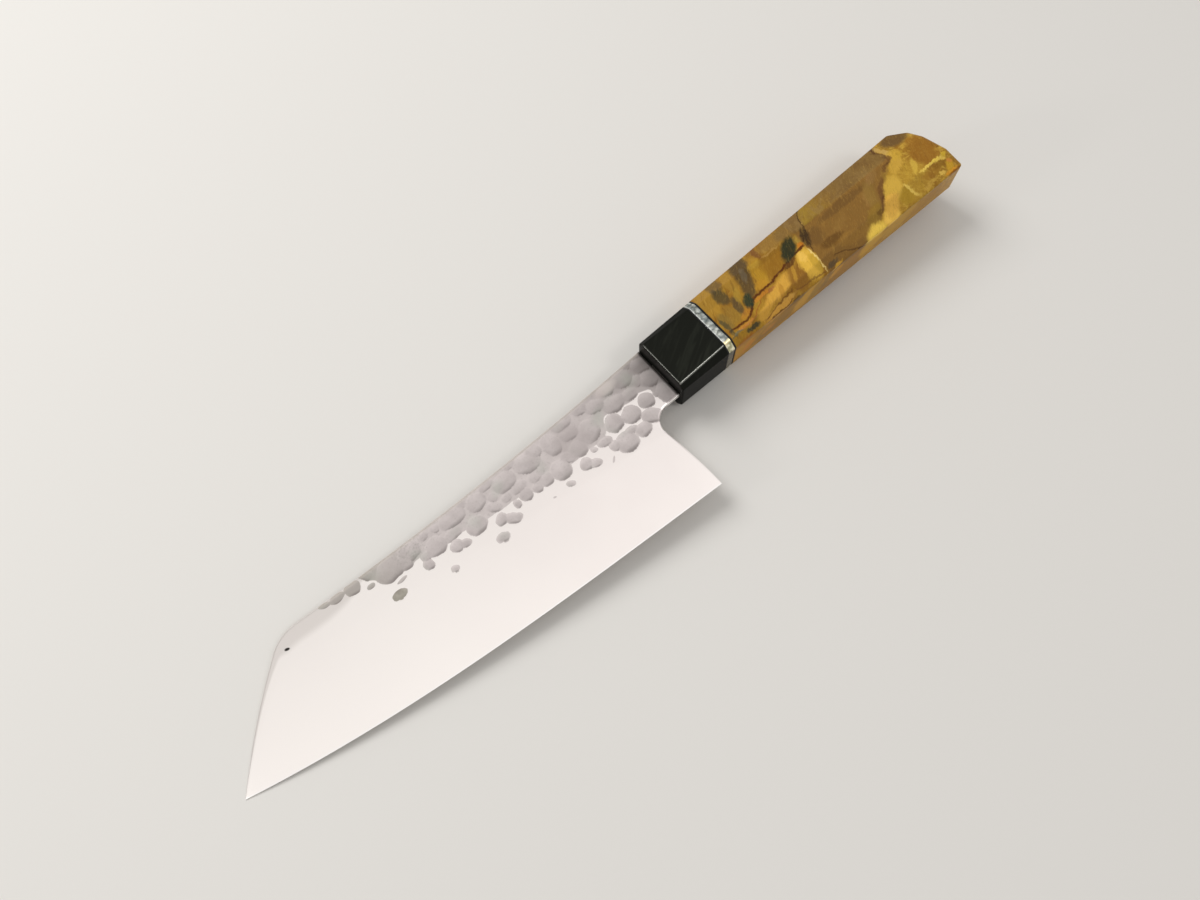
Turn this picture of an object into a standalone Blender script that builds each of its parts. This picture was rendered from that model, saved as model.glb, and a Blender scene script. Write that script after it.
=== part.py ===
"""Kitchen knife with a hammered hidden-tang blade and an eight-sided handle.

The knife is modelled in its own frame: the origin is on the handle's axis at the
ferrule's front face, +X runs to the butt, +Y to the spine and +Z to the upper face.
The empty knife_at_rest then tips the whole knife onto its point and its ferrule, with
the world origin under the middle of its bounding box.
"""
import math

import bmesh
import bpy
from mathutils import Matrix, Vector

MM = 0.001

# Blade outline, seen from the side
EDGE_LENGTH = 170 * MM          # heel to tip, straight across
EDGE_RISE = 21.4 * MM           # tip above heel
EDGE_FLAT_SHARE = 0.57          # share of the rise that is a straight slope
EDGE_BELLY_POWER = 3.3          # how late the rest of the rise comes
HEEL_SETBACK = 10.2 * MM        # heel ahead of the ferrule
HEEL_DROP = 40.5 * MM           # heel below the handle's axis
NECK_TOP = 10.7 * MM            # spine above the axis at the ferrule
NECK_BOTTOM = 9.5 * MM          # neck's underside below the axis
CHOIL_RADIUS = 5.9 * MM
CHOIL_REACH = 12.05 * MM        # deepest point of the choil ahead of the ferrule
CHOIL_START_ANGLE = math.radians(194)
HEEL_LINE_POWER = 2.0           # bow of the line from heel to choil
SPINE_LENGTH = 145.2 * MM       # ferrule to the corner where the clip starts
SPINE_RISE = 2.8 * MM           # corner above the neck's top
SPINE_HOLLOW = 2.05 * MM        # sag of the spine below its chord
CORNER_RADIUS = 15 * MM
CORNER_SLOPE_SHARE = 0.95       # spine point that gives the slope into the corner
CLIP_BOW = 0.9 * MM             # outward bow of the clip line

# Blade thickness and ground bevel
SPINE_THICKNESS_NECK = 2.6 * MM
SPINE_THICKNESS_CORNER = 1.5 * MM
GRIND_THICKNESS_HEEL = 1.7 * MM
GRIND_THICKNESS_CORNER = 1.25 * MM
TIP_THICKNESS = 0.4 * MM
EDGE_THICKNESS = 0.2 * MM
UPPER_BAND_CORNER = 4.5 * MM    # unground band left below the corner
TOP_START = 20 * MM             # spine point above the choil's start

# Tang, hidden in the handle
TANG_WIDTH = 8 * MM
TANG_WIDTH_END = 6 * MM
TANG_THICKNESS_END = 1.8 * MM
TANG_LENGTH = 68 * MM

# Handle, an octagon that widens to the butt: half sizes and facet sizes
HANDLE_LENGTH = 125.8 * MM      # ferrule front face to the butt, on the axis
FRONT_HALF_WIDTH = 10.8 * MM
BUTT_HALF_WIDTH = 12.9 * MM
FRONT_HALF_HEIGHT = 9.0 * MM
BUTT_HALF_HEIGHT = 9.7 * MM
FRONT_FACET_WIDTH = 1.8 * MM
BUTT_FACET_WIDTH = 7.2 * MM
FRONT_FACET_DROP = 2.3 * MM
BUTT_FACET_DROP = 3.4 * MM
EASED_EDGE = 0.9 * MM           # radius along the facets' edges
FRONT_RIM_RADIUS = 0.45 * MM    # rounding of the ferrule's front rim
BUTT_RIM_RADIUS = 2.8 * MM
BUTT_SLANT = math.radians(14)   # butt leans back towards the spine
BUTT_CUT_LENGTH = 8.8 * MM      # spine-side corner facets, along the handle
BUTT_CUT_ANGLE = math.radians(32)
BUTT_CUT_LEAN = math.radians(32)

# Pieces along the handle
FERRULE_LENGTH = 19.3 * MM
FERRULE_FRONT_WALL = 4 * MM
LINER_THICKNESS = 0.4 * MM
SPACER_THICKNESS = 2.5 * MM

# Core
BEDDING_WALL = 0.7 * MM         # resin between tang and dowel
BEDDING_END = 2 * MM            # resin past the tang's end
DOWEL_WALL = 1.2 * MM           # wood left at the slot's corners
DOWEL_END_WOOD = 8 * MM         # solid dowel past the slot
SLOT_PLAY = 0.3 * MM            # tang in the ferrule's slot, each side
GLUE_LINE = 0.1 * MM            # gap between glued faces

# Number of steps along the curves
SPINE_STEPS = 18
CORNER_STEPS = 5
CLIP_STEPS = 7
CHOIL_STEPS = 7
HEEL_STEPS = 5
ROUND_STEPS = 5
HANDLE_STEPS = 8
BORE_SIDES = 32

WELD_DISTANCE = 0.0001 * MM     # points closer than this are one
SHARP_ANGLE = math.radians(30)  # edges sharper than this aren't shaded smooth


def mix(start, end, share):
    return start + (end - start) * share


# Places that several pieces share
SLOT_HALF_WIDTH = TANG_WIDTH / 2 + BEDDING_WALL + 2 * GLUE_LINE
SLOT_HALF_HEIGHT = SPINE_THICKNESS_NECK / 2 + BEDDING_WALL + 2 * GLUE_LINE
DOWEL_RADIUS = math.hypot(SLOT_HALF_WIDTH, SLOT_HALF_HEIGHT) + DOWEL_WALL
BORE_RADIUS = DOWEL_RADIUS + GLUE_LINE
DOWEL_START = FERRULE_FRONT_WALL + GLUE_LINE
BEDDING_STOP = TANG_LENGTH + GLUE_LINE + BEDDING_END
SLOT_END = BEDDING_STOP + GLUE_LINE
DOWEL_STOP = SLOT_END + DOWEL_END_WOOD
BORE_STOP = DOWEL_STOP + GLUE_LINE
LINER_FRONT_START = FERRULE_LENGTH + GLUE_LINE
SPACER_START = LINER_FRONT_START + LINER_THICKNESS + GLUE_LINE
LINER_REAR_START = SPACER_START + SPACER_THICKNESS + GLUE_LINE
BLOCK_START = LINER_REAR_START + LINER_THICKNESS + GLUE_LINE


# Blade outline as points (x, y)

def heel_point():
    return Vector((-HEEL_SETBACK, -HEEL_DROP))


def edge_point(share):
    """Cutting edge from the heel (0) to the tip (1)."""
    run = math.sqrt(EDGE_LENGTH ** 2 - EDGE_RISE ** 2)
    rise = EDGE_FLAT_SHARE * share + (1 - EDGE_FLAT_SHARE) * share ** EDGE_BELLY_POWER
    return heel_point() + Vector((-run * share, EDGE_RISE * rise))


def spine_point(distance):
    """Spine at a distance from the ferrule, with its shallow hollow."""
    share = distance / SPINE_LENGTH
    height = NECK_TOP + SPINE_RISE * share - 4 * SPINE_HOLLOW * share * (1 - share)
    return Vector((-distance, height))


def corner_arc():
    """Arc that joins the spine to the clip line, from spine to clip."""
    corner = spine_point(SPINE_LENGTH)
    along_spine = (spine_point(SPINE_LENGTH * CORNER_SLOPE_SHARE) - corner).normalized()
    along_clip = (edge_point(1) - corner).normalized()
    turn = math.pi - along_spine.angle(along_clip)
    reach = CORNER_RADIUS * math.tan(turn / 2)
    middle = (along_spine + along_clip).normalized()
    centre = corner + middle * (CORNER_RADIUS / math.cos(turn / 2))
    start = corner + along_spine * reach - centre
    points = []
    for step in range(CORNER_STEPS + 1):
        swing = Matrix.Rotation(turn * step / CORNER_STEPS, 2)
        points.append(centre + swing @ start)
    return points


def clip_points(start):
    """Clip from the corner's arc to the tip, bowed out a little."""
    tip = edge_point(1)
    chord = tip - start
    outward = Vector((chord.y, -chord.x)).normalized()
    points = []
    for step in range(1, CLIP_STEPS + 1):
        share = step / CLIP_STEPS
        bow = 4 * CLIP_BOW * share * (1 - share)
        points.append(start + chord * share + outward * bow)
    return points


def top_line():
    """Spine, corner and clip, from above the choil to the tip."""
    arc = corner_arc()
    spine_stop = -arc[0].x
    points = []
    for step in range(SPINE_STEPS):
        points.append(spine_point(mix(TOP_START, spine_stop, step / SPINE_STEPS)))
    return points + arc + clip_points(arc[-1])


def choil_point(angle):
    centre = Vector((CHOIL_RADIUS - CHOIL_REACH, -NECK_BOTTOM - CHOIL_RADIUS))
    return centre + CHOIL_RADIUS * Vector((math.cos(angle), math.sin(angle)))


def heel_line(share):
    """Back of the blade from the heel (0) up to the choil (1)."""
    top = choil_point(CHOIL_START_ANGLE)
    heel = heel_point()
    return Vector((mix(heel.x, top.x, share ** HEEL_LINE_POWER), mix(heel.y, top.y, share)))


def blade_rows():
    """Edge, grind line and top line, matched station by station."""
    top = top_line()
    last = len(top) - 1
    arc_end = SPINE_STEPS + CORNER_STEPS
    start = choil_point(CHOIL_START_ANGLE)
    tip = edge_point(1)
    arc_foot = top[arc_end].x / tip.x
    down = (edge_point(arc_foot) - top[arc_end]).normalized()
    band_end = top[arc_end] + down * UPPER_BAND_CORNER
    rows = []
    for station, upper in enumerate(top):
        share = station / arc_end
        if station <= arc_end:
            lower = edge_point(arc_foot * share)
            grind = start.lerp(band_end, share)
            thickness = mix(GRIND_THICKNESS_HEEL, GRIND_THICKNESS_CORNER, share)
        else:
            share = (station - arc_end) / (last - arc_end)
            lower = edge_point(mix(arc_foot, 1, share))
            inward = lower - upper
            band = min(mix(UPPER_BAND_CORNER, 0, share), inward.length / 2)
            grind = upper + inward.normalized() * band
            thickness = mix(GRIND_THICKNESS_CORNER, TIP_THICKNESS, share)
        rows.append((lower, grind, upper, thickness))
    return rows


def spine_thickness(point):
    """Full thickness along the spine and the clip."""
    distance = -point.x
    if distance <= SPINE_LENGTH:
        return mix(SPINE_THICKNESS_NECK, SPINE_THICKNESS_CORNER, distance / SPINE_LENGTH)
    past = (distance - SPINE_LENGTH) / (-edge_point(1).x - SPINE_LENGTH)
    return mix(SPINE_THICKNESS_CORNER, TIP_THICKNESS, past)


# Blade mesh

def blade_columns():
    """Columns of (x, y, half thickness) from the tip to the shoulder at the ferrule.

    Every column runs from the lower side to the upper one. The three upper spans keep
    the shares that the tang's sides need at the shoulder.
    """
    shoulder = -GLUE_LINE
    shoulder_top = spine_point(GLUE_LINE).y
    height = shoulder_top + NECK_BOTTOM
    shares = [0, (NECK_BOTTOM - TANG_WIDTH / 2) / height, (NECK_BOTTOM + TANG_WIDTH / 2) / height, 1]
    columns = []
    for lower, grind, upper, thickness in reversed(blade_rows()):
        column = [(lower.x, lower.y, EDGE_THICKNESS / 2)]
        for share in shares:
            point = grind.lerp(upper, share)
            column.append((point.x, point.y, mix(thickness, spine_thickness(upper), share) / 2))
        columns.append(column)
    tip = edge_point(1)
    columns[0] = [(tip.x, tip.y, TIP_THICKNESS / 2)] * 5
    for step in range(1, CHOIL_STEPS + 2):
        share = step / (CHOIL_STEPS + 1)
        angle = mix(CHOIL_START_ANGLE, math.pi / 2, min(1, step / CHOIL_STEPS))
        below = choil_point(angle)
        if step > CHOIL_STEPS:
            below = Vector((shoulder, -NECK_BOTTOM))
        above = spine_point(mix(TOP_START, -shoulder, share))
        lower_thickness = mix(GRIND_THICKNESS_HEEL, spine_thickness(above), min(1, step / CHOIL_STEPS))
        column = []
        for row_share in shares:
            point = below.lerp(above, row_share)
            column.append((point.x, point.y, mix(lower_thickness, spine_thickness(above), row_share) / 2))
        columns.append(column)
    return columns


def blade_spans():
    """Faces of the blade's upper side, each a ring of (x, y, half thickness)."""
    columns = blade_columns()
    heel_column = len(blade_rows()) - 1
    spans = []
    for index, (near, far) in enumerate(zip(columns, columns[1:])):
        if index == heel_column:
            near = near[1:]
        for row in range(len(near) - 1):
            spans.append([near[row], near[row + 1], far[row + 1], far[row]])
    # The heel line bows out behind the straight chord from the heel to the choil
    bow = []
    for step in range(HEEL_STEPS + 1):
        share = step / HEEL_STEPS
        point = heel_line(share)
        bow.append((point.x, point.y, mix(EDGE_THICKNESS, GRIND_THICKNESS_HEEL, share) / 2))
    spans.append(bow)
    # The tang leaves the shoulder between its two middle points
    root = columns[-1][1:3]
    end = [(TANG_LENGTH, side * TANG_WIDTH_END / 2, TANG_THICKNESS_END / 2) for side in (-1, 1)]
    spans.append([root[0], root[1], end[1], end[0]])
    return spans


def build_blade():
    """Upper side, its mirror image below, and walls along the outline."""
    bm = bmesh.new()
    made = {}

    def pair(point):
        x, y, half = point
        key = (round(x / WELD_DISTANCE), round(y / WELD_DISTANCE))
        if key not in made:
            made[key] = (bm.verts.new((x, y, half)), bm.verts.new((x, y, -half)))
        return made[key]

    below = {}
    for span in blade_spans():
        ring = []
        for point in span:
            upper, lower = pair(point)
            below[upper] = lower
            if upper not in ring:
                ring.append(upper)
        if len(ring) > 2:
            bm.faces.new(ring)
    outline = [edge for edge in bm.edges if len(edge.link_faces) == 1]
    for face in list(bm.faces):
        bm.faces.new([below[vert] for vert in reversed(face.verts)])
    for edge in outline:
        first, second = edge.verts
        bm.faces.new([first, second, below[second], below[first]])
    bmesh.ops.recalc_face_normals(bm, faces=bm.faces)
    bmesh.ops.triangulate(bm, faces=bm.faces)
    return bm


# Handle sections

def handle_section(x):
    """Half width, half height, facet width and facet drop at a place on the axis."""
    share = x / HANDLE_LENGTH
    return (mix(FRONT_HALF_WIDTH, BUTT_HALF_WIDTH, share),
            mix(FRONT_HALF_HEIGHT, BUTT_HALF_HEIGHT, share),
            mix(FRONT_FACET_WIDTH, BUTT_FACET_WIDTH, share),
            mix(FRONT_FACET_DROP, BUTT_FACET_DROP, share))


def eased_octagon(x):
    """Octagon (y, z) with each corner turned into a short arc."""
    width, height, facet, drop = handle_section(x)
    quarter = [Vector((width, height - drop)), Vector((width - facet, height))]
    corners = quarter + [Vector((-p.x, p.y)) for p in reversed(quarter)]
    corners += [Vector((-p.x, -p.y)) for p in corners]
    points = []
    for index, corner in enumerate(corners):
        before = (corners[index - 1] - corner).normalized()
        after = (corners[(index + 1) % len(corners)] - corner).normalized()
        turn = math.pi - before.angle(after)
        reach = EASED_EDGE * math.tan(turn / 2)
        middle = (before + after).normalized()
        centre = corner + middle * (EASED_EDGE / math.cos(turn / 2))
        points += [corner + before * reach, centre - middle * EASED_EDGE, corner + after * reach]
    return points


def section_ring(x, inset=0.0, slant=0.0):
    """Ring of points round the handle, drawn in evenly by the inset."""
    width, height = handle_section(x)[:2]
    across = (width - inset) / width
    upright = (height - inset) / height
    ring = []
    for point in eased_octagon(x):
        y = point.x * across
        ring.append((x - y * slant, y, point.y * upright))
    return ring


def loft(rings):
    """Closed body through rings of equal count, with flat ends."""
    bm = bmesh.new()
    loops = [[bm.verts.new(point) for point in ring] for ring in rings]
    count = len(loops[0])
    for near, far in zip(loops, loops[1:]):
        for index in range(count):
            following = (index + 1) % count
            bm.faces.new([near[index], near[following], far[following], far[index]])
    bm.faces.new(list(reversed(loops[0])))
    bm.faces.new(loops[-1])
    bmesh.ops.recalc_face_normals(bm, faces=bm.faces)
    return bm


def rounding(radius):
    """Rounded rim as pairs (distance from the end, inset), starting at the end."""
    pairs = []
    for step in range(ROUND_STEPS + 1):
        angle = math.pi / 2 * step / ROUND_STEPS
        pairs.append((radius * (1 - math.cos(angle)), radius * (1 - math.sin(angle))))
    return pairs


def build_ferrule():
    rings = []
    for back, inset in rounding(FRONT_RIM_RADIUS):
        rings.append(section_ring(back, inset))
    rings.append(section_ring(FERRULE_LENGTH))
    return loft(rings)


def build_plate(start, thickness):
    return loft([section_ring(start), section_ring(start + thickness)])


def build_block():
    """Handle block: widening octagon, rounded butt and two corner facets."""
    straight_end = HANDLE_LENGTH - BUTT_RIM_RADIUS
    slant_end = math.tan(BUTT_SLANT)
    rings = []
    for step in range(HANDLE_STEPS):
        share = step / HANDLE_STEPS
        rings.append(section_ring(mix(BLOCK_START, straight_end, share), 0, slant_end * share))
    for back, inset in reversed(rounding(BUTT_RIM_RADIUS)):
        rings.append(section_ring(HANDLE_LENGTH - back, inset, slant_end))
    bm = loft(rings)
    cut_start = HANDLE_LENGTH - BUTT_CUT_LENGTH
    width, height, _, drop = handle_section(cut_start)
    flat = math.cos(BUTT_CUT_LEAN)
    for side in (1, -1):
        normal = Vector((math.sin(BUTT_CUT_ANGLE) * flat,
                         math.cos(BUTT_CUT_ANGLE) * flat,
                         side * math.sin(BUTT_CUT_LEAN)))
        place = Vector((cut_start, width, side * (height - drop)))
        everything = list(bm.verts) + list(bm.edges) + list(bm.faces)
        sliced = bmesh.ops.bisect_plane(bm, geom=everything, dist=WELD_DISTANCE, plane_co=place,
                                        plane_no=normal, clear_outer=True)
        rim = [item for item in sliced["geom_cut"] if isinstance(item, bmesh.types.BMEdge)]
        bmesh.ops.holes_fill(bm, edges=rim)
    bmesh.ops.triangulate(bm, faces=[face for face in bm.faces if len(face.verts) > 4])
    bmesh.ops.recalc_face_normals(bm, faces=bm.faces)
    return bm


def build_cylinder(start, stop, radius):
    """Round bar along the handle's axis."""
    bm = bmesh.new()
    turn = Matrix.Rotation(math.pi / 2, 4, "Y")
    place = Matrix.Translation(((start + stop) / 2, 0, 0)) @ turn
    bmesh.ops.create_cone(bm, cap_ends=True, segments=BORE_SIDES, radius1=radius, radius2=radius,
                          depth=stop - start, matrix=place)
    return bm


def build_box(start, stop, half_width, half_height):
    bm = bmesh.new()
    size = Matrix.Diagonal((stop - start, 2 * half_width, 2 * half_height, 1))
    bmesh.ops.create_cube(bm, size=1, matrix=Matrix.Translation(((start + stop) / 2, 0, 0)) @ size)
    return bm


def build_tang_room():
    """Space the bedding leaves for the tang, open towards the blade."""
    end = [(TANG_LENGTH + GLUE_LINE, side * (TANG_WIDTH_END / 2 + GLUE_LINE)) for side in (-1, 1)]
    start = [(DOWEL_START - BEDDING_WALL, side * (TANG_WIDTH / 2 + GLUE_LINE)) for side in (-1, 1)]
    bm = bmesh.new()
    for points, thickness in ((start, SPINE_THICKNESS_NECK), (end, TANG_THICKNESS_END)):
        for x, y in points:
            for side in (-1, 1):
                bm.verts.new((x, y, side * (thickness / 2 + GLUE_LINE)))
    bmesh.ops.convex_hull(bm, input=bm.verts)
    bmesh.ops.recalc_face_normals(bm, faces=bm.faces)
    return bm


# Objects and materials

def make_material(name, colour, roughness, metallic=0.0):
    material = bpy.data.materials.new(name)
    material.use_nodes = True
    shader = material.node_tree.nodes["Principled BSDF"]
    shader.inputs["Base Color"].default_value = (*colour, 1)
    shader.inputs["Roughness"].default_value = roughness
    shader.inputs["Metallic"].default_value = metallic
    material.diffuse_color = (*colour, 1)
    return material


def make_object(name, bm, parent, material=None):
    mesh = bpy.data.meshes.new(name)
    bm.to_mesh(mesh)
    bm.free()
    mesh.shade_smooth()
    mesh.set_sharp_from_angle(angle=SHARP_ANGLE)
    item = bpy.data.objects.new(name, mesh)
    bpy.context.scene.collection.objects.link(item)
    item.parent = parent
    if material:
        mesh.materials.append(material)
    else:
        item.hide_render = True
        item.display_type = "WIRE"
    return item


def cut(item, cutter):
    modifier = item.modifiers.new(cutter.name, "BOOLEAN")
    modifier.operation = "DIFFERENCE"
    modifier.solver = "EXACT"
    modifier.object = cutter


# Rest pose

def resting_pitch(ferrule):
    """Angle between the handle's axis and the table.

    The blade outweighs the handle, so the knife tips forward until its point is down,
    and then stands on the point and on the lower front rim of the ferrule.
    """
    tip = Vector((*edge_point(1), -TIP_THICKNESS / 2))
    slopes = [(vert.co.z - tip.z) / (vert.co.x - tip.x) for vert in ferrule.data.vertices]
    return math.atan(-min(slopes))


def lay_down(knife, ferrule, pieces):
    """Tip the knife to rest and bring the box's bottom centre to the world origin."""
    knife.rotation_euler = (0, -resting_pitch(ferrule), 0)
    turn = knife.rotation_euler.to_matrix()
    corners = [turn @ vert.co for piece in pieces for vert in piece.data.vertices]
    low = [min(point[axis] for point in corners) for axis in range(3)]
    high = [max(point[axis] for point in corners) for axis in range(3)]
    knife.location = (-(low[0] + high[0]) / 2, -(low[1] + high[1]) / 2, -low[2])


def main():
    for item in list(bpy.data.objects):
        bpy.data.objects.remove(item, do_unlink=True)
    knife = bpy.data.objects.new("knife_at_rest", None)
    bpy.context.scene.collection.objects.link(knife)

    steel = make_material("satin_steel", (0.62, 0.61, 0.6), 0.32, 1.0)
    horn = make_material("black_horn", (0.012, 0.012, 0.012), 0.12)
    fibre = make_material("black_fibre", (0.01, 0.01, 0.01), 0.5)
    silver = make_material("patterned_metal", (0.55, 0.54, 0.5), 0.3, 1.0)
    burl = make_material("dyed_burl", (0.48, 0.3, 0.04), 0.15)
    beech = make_material("plain_wood", (0.5, 0.33, 0.18), 0.6)
    resin = make_material("clear_resin", (0.6, 0.5, 0.3), 0.3)

    front_plate = build_plate(LINER_FRONT_START, LINER_THICKNESS)
    middle_plate = build_plate(SPACER_START, SPACER_THICKNESS)
    rear_plate = build_plate(LINER_REAR_START, LINER_THICKNESS)
    bar = build_cylinder(DOWEL_START, DOWEL_STOP, DOWEL_RADIUS)
    filling = build_box(DOWEL_START, BEDDING_STOP, SLOT_HALF_WIDTH - GLUE_LINE,
                        SLOT_HALF_HEIGHT - GLUE_LINE)
    blade = make_object("blade", build_blade(), knife, steel)
    ferrule = make_object("ferrule", build_ferrule(), knife, horn)
    liner_front = make_object("liner_front", front_plate, knife, fibre)
    spacer = make_object("spacer", middle_plate, knife, silver)
    liner_rear = make_object("liner_rear", rear_plate, knife, fibre)
    handle = make_object("handle", build_block(), knife, burl)
    dowel = make_object("core_dowel", bar, knife, beech)
    bedding = make_object("tang_bedding", filling, knife, resin)

    round_hole = build_cylinder(FERRULE_FRONT_WALL, BORE_STOP, BORE_RADIUS)
    front_hole = build_box(-FERRULE_FRONT_WALL, 2 * FERRULE_FRONT_WALL, TANG_WIDTH / 2 + SLOT_PLAY,
                           SPINE_THICKNESS_NECK / 2 + SLOT_PLAY)
    flat_hole = build_box(0, SLOT_END, SLOT_HALF_WIDTH, SLOT_HALF_HEIGHT)
    bore = make_object("dowel_bore", round_hole, knife)
    tang_slot = make_object("tang_slot", front_hole, knife)
    bedding_slot = make_object("bedding_slot", flat_hole, knife)
    tang_room = make_object("tang_room", build_tang_room(), knife)
    for piece in (ferrule, liner_front, spacer, liner_rear, handle):
        cut(piece, bore)
    cut(ferrule, tang_slot)
    cut(dowel, bedding_slot)
    cut(bedding, tang_room)

    lay_down(knife, ferrule, (blade, ferrule, liner_front, spacer, liner_rear, handle, dowel, bedding))


main()
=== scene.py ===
"""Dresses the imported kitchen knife: hammered blade, horn ferrule, patterned spacer and burl handle.

The pieces are shaped in the knife's own frame, in metres: the origin is on the handle's
axis at the ferrule's front face, +X runs to the butt, +Y to the spine and +Z to the
upper face. Each finished mesh is then laid down at rest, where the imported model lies.
"""
import math

import bpy
import numpy as np
from bpy.props import FloatProperty, FloatVectorProperty, IntProperty, PointerProperty
from mathutils import Matrix, Vector
from mathutils.kdtree import KDTree


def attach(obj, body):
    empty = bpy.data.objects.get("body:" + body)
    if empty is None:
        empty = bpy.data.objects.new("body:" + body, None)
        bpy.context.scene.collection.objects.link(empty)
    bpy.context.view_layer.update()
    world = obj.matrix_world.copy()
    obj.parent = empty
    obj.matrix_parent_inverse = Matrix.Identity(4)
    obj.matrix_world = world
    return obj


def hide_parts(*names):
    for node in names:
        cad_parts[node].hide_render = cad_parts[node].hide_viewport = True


bl_info = {
    "name": "Hammered Kitchen Knife",
    "version": (1, 0, 0),
    "blender": (4, 5, 0),
    "location": "3D View > Sidebar > Knife",
    "description": "Builds the looks of a hammered kitchen knife on its packed model",
    "category": "Object",
}

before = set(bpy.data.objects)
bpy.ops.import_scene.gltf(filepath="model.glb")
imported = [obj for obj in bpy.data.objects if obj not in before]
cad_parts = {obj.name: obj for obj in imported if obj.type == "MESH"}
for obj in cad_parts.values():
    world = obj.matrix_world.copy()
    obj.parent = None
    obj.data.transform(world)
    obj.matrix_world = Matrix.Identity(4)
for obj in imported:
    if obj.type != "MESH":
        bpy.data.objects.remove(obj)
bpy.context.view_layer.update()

MM = 0.001

# Where the knife's own frame lies at rest
KNIFE_PLACE = Vector((25.0878, 13.7444, 8.9696)) * MM
KNIFE_PITCH = -0.04905497

# Blade outline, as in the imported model
EDGE_LENGTH = 170 * MM
EDGE_RISE = 21.4 * MM
EDGE_FLAT_SHARE = 0.57
EDGE_BELLY_POWER = 3.3
HEEL_SETBACK = 10.2 * MM
HEEL_DROP = 40.5 * MM
NECK_TOP = 10.7 * MM
NECK_BOTTOM = 9.5 * MM
CHOIL_RADIUS = 5.9 * MM
CHOIL_REACH = 12.05 * MM
CHOIL_START_ANGLE = math.radians(194)
HEEL_LINE_POWER = 2.0
SPINE_LENGTH = 145.2 * MM
SPINE_RISE = 2.8 * MM
SPINE_HOLLOW = 2.05 * MM
CORNER_RADIUS = 15 * MM
CORNER_SLOPE_SHARE = 0.95
CLIP_BOW = 0.9 * MM
SPINE_THICKNESS_NECK = 2.6 * MM
SPINE_THICKNESS_CORNER = 1.5 * MM
GRIND_THICKNESS_HEEL = 1.7 * MM
GRIND_THICKNESS_CORNER = 1.25 * MM
TIP_THICKNESS = 0.4 * MM
EDGE_THICKNESS = 0.2 * MM
UPPER_BAND_CORNER = 4.5 * MM
TOP_START = 20 * MM
TANG_WIDTH = 8 * MM
TANG_WIDTH_END = 6 * MM
TANG_THICKNESS_END = 1.8 * MM
TANG_LENGTH = 68 * MM
TANG_ROOT_SHARE = 0.96
GLUE_LINE = 0.1 * MM

# Handle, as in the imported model
HANDLE_LENGTH = 125.8 * MM
FRONT_HALF_WIDTH = 10.8 * MM
BUTT_HALF_WIDTH = 12.9 * MM
FRONT_HALF_HEIGHT = 9.0 * MM
BUTT_HALF_HEIGHT = 9.7 * MM
FRONT_FACET_WIDTH = 1.8 * MM
BUTT_FACET_WIDTH = 7.2 * MM
FRONT_FACET_DROP = 2.3 * MM
BUTT_FACET_DROP = 3.4 * MM
FRONT_RIM_RADIUS = 0.45 * MM
BUTT_RIM_RADIUS = 2.8 * MM
BUTT_SLANT = math.radians(14)
BUTT_CUT_LENGTH = 8.8 * MM
BUTT_CUT_ANGLE = math.radians(32)
BUTT_CUT_LEAN = math.radians(32)
FERRULE_END = 19.3 * MM
LINER_THICKNESS = 0.4 * MM
LINER_FRONT_START = 19.4 * MM
SPACER_START = 19.9 * MM
SPACER_END = 22.4 * MM
LINER_REAR_START = 22.5 * MM
BLOCK_START = 23.0 * MM

# Looks of the handle's pieces: facets of the spine side, rims, and the cells pressed in the spacer
FAR_FACET_SHARE = 1.28
SPACER_RIM = 0.15 * MM
CELL_LENGTH = 1.9 * MM
CELL_WIDTH = 1.65 * MM
CELL_WANDER = 1.5

# Tree that grows the handle's pieces, which are bars with eight sides
BAR_TREE = "eight_sided_bar"
BAR_SHARP_ANGLE = 45
BAR_WELD_DISTANCE = 0.002 * MM
SPACER_POINTS_AROUND = 400
NO_CUT = 1.0

# Where along a bar's rings the front face, front rim, side and rear rim end
FRONT_FACE_END = 0.08
FRONT_RIM_END = 0.14
SIDE_END = 0.8
REAR_RIM_END = 0.92

# Fineness of the blade's skin, and how its outline is eased
STATIONS_SPINE = 340
STATIONS_CORNER = 26
STATIONS_CLIP = 44
STATIONS_CHOIL = 34
STATIONS_NECK = 10
ROWS_BEVEL = 24
ROWS_FLAT = 62
BEVEL_CROWDING = 1.8
EASED_WIDTH = 0.55 * MM
EASED_DROP = 0.32 * MM
EASED_SHARE = 0.4
HEEL_FADE_STATIONS = 24
BLADE_SHARP_ANGLE = 40

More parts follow.
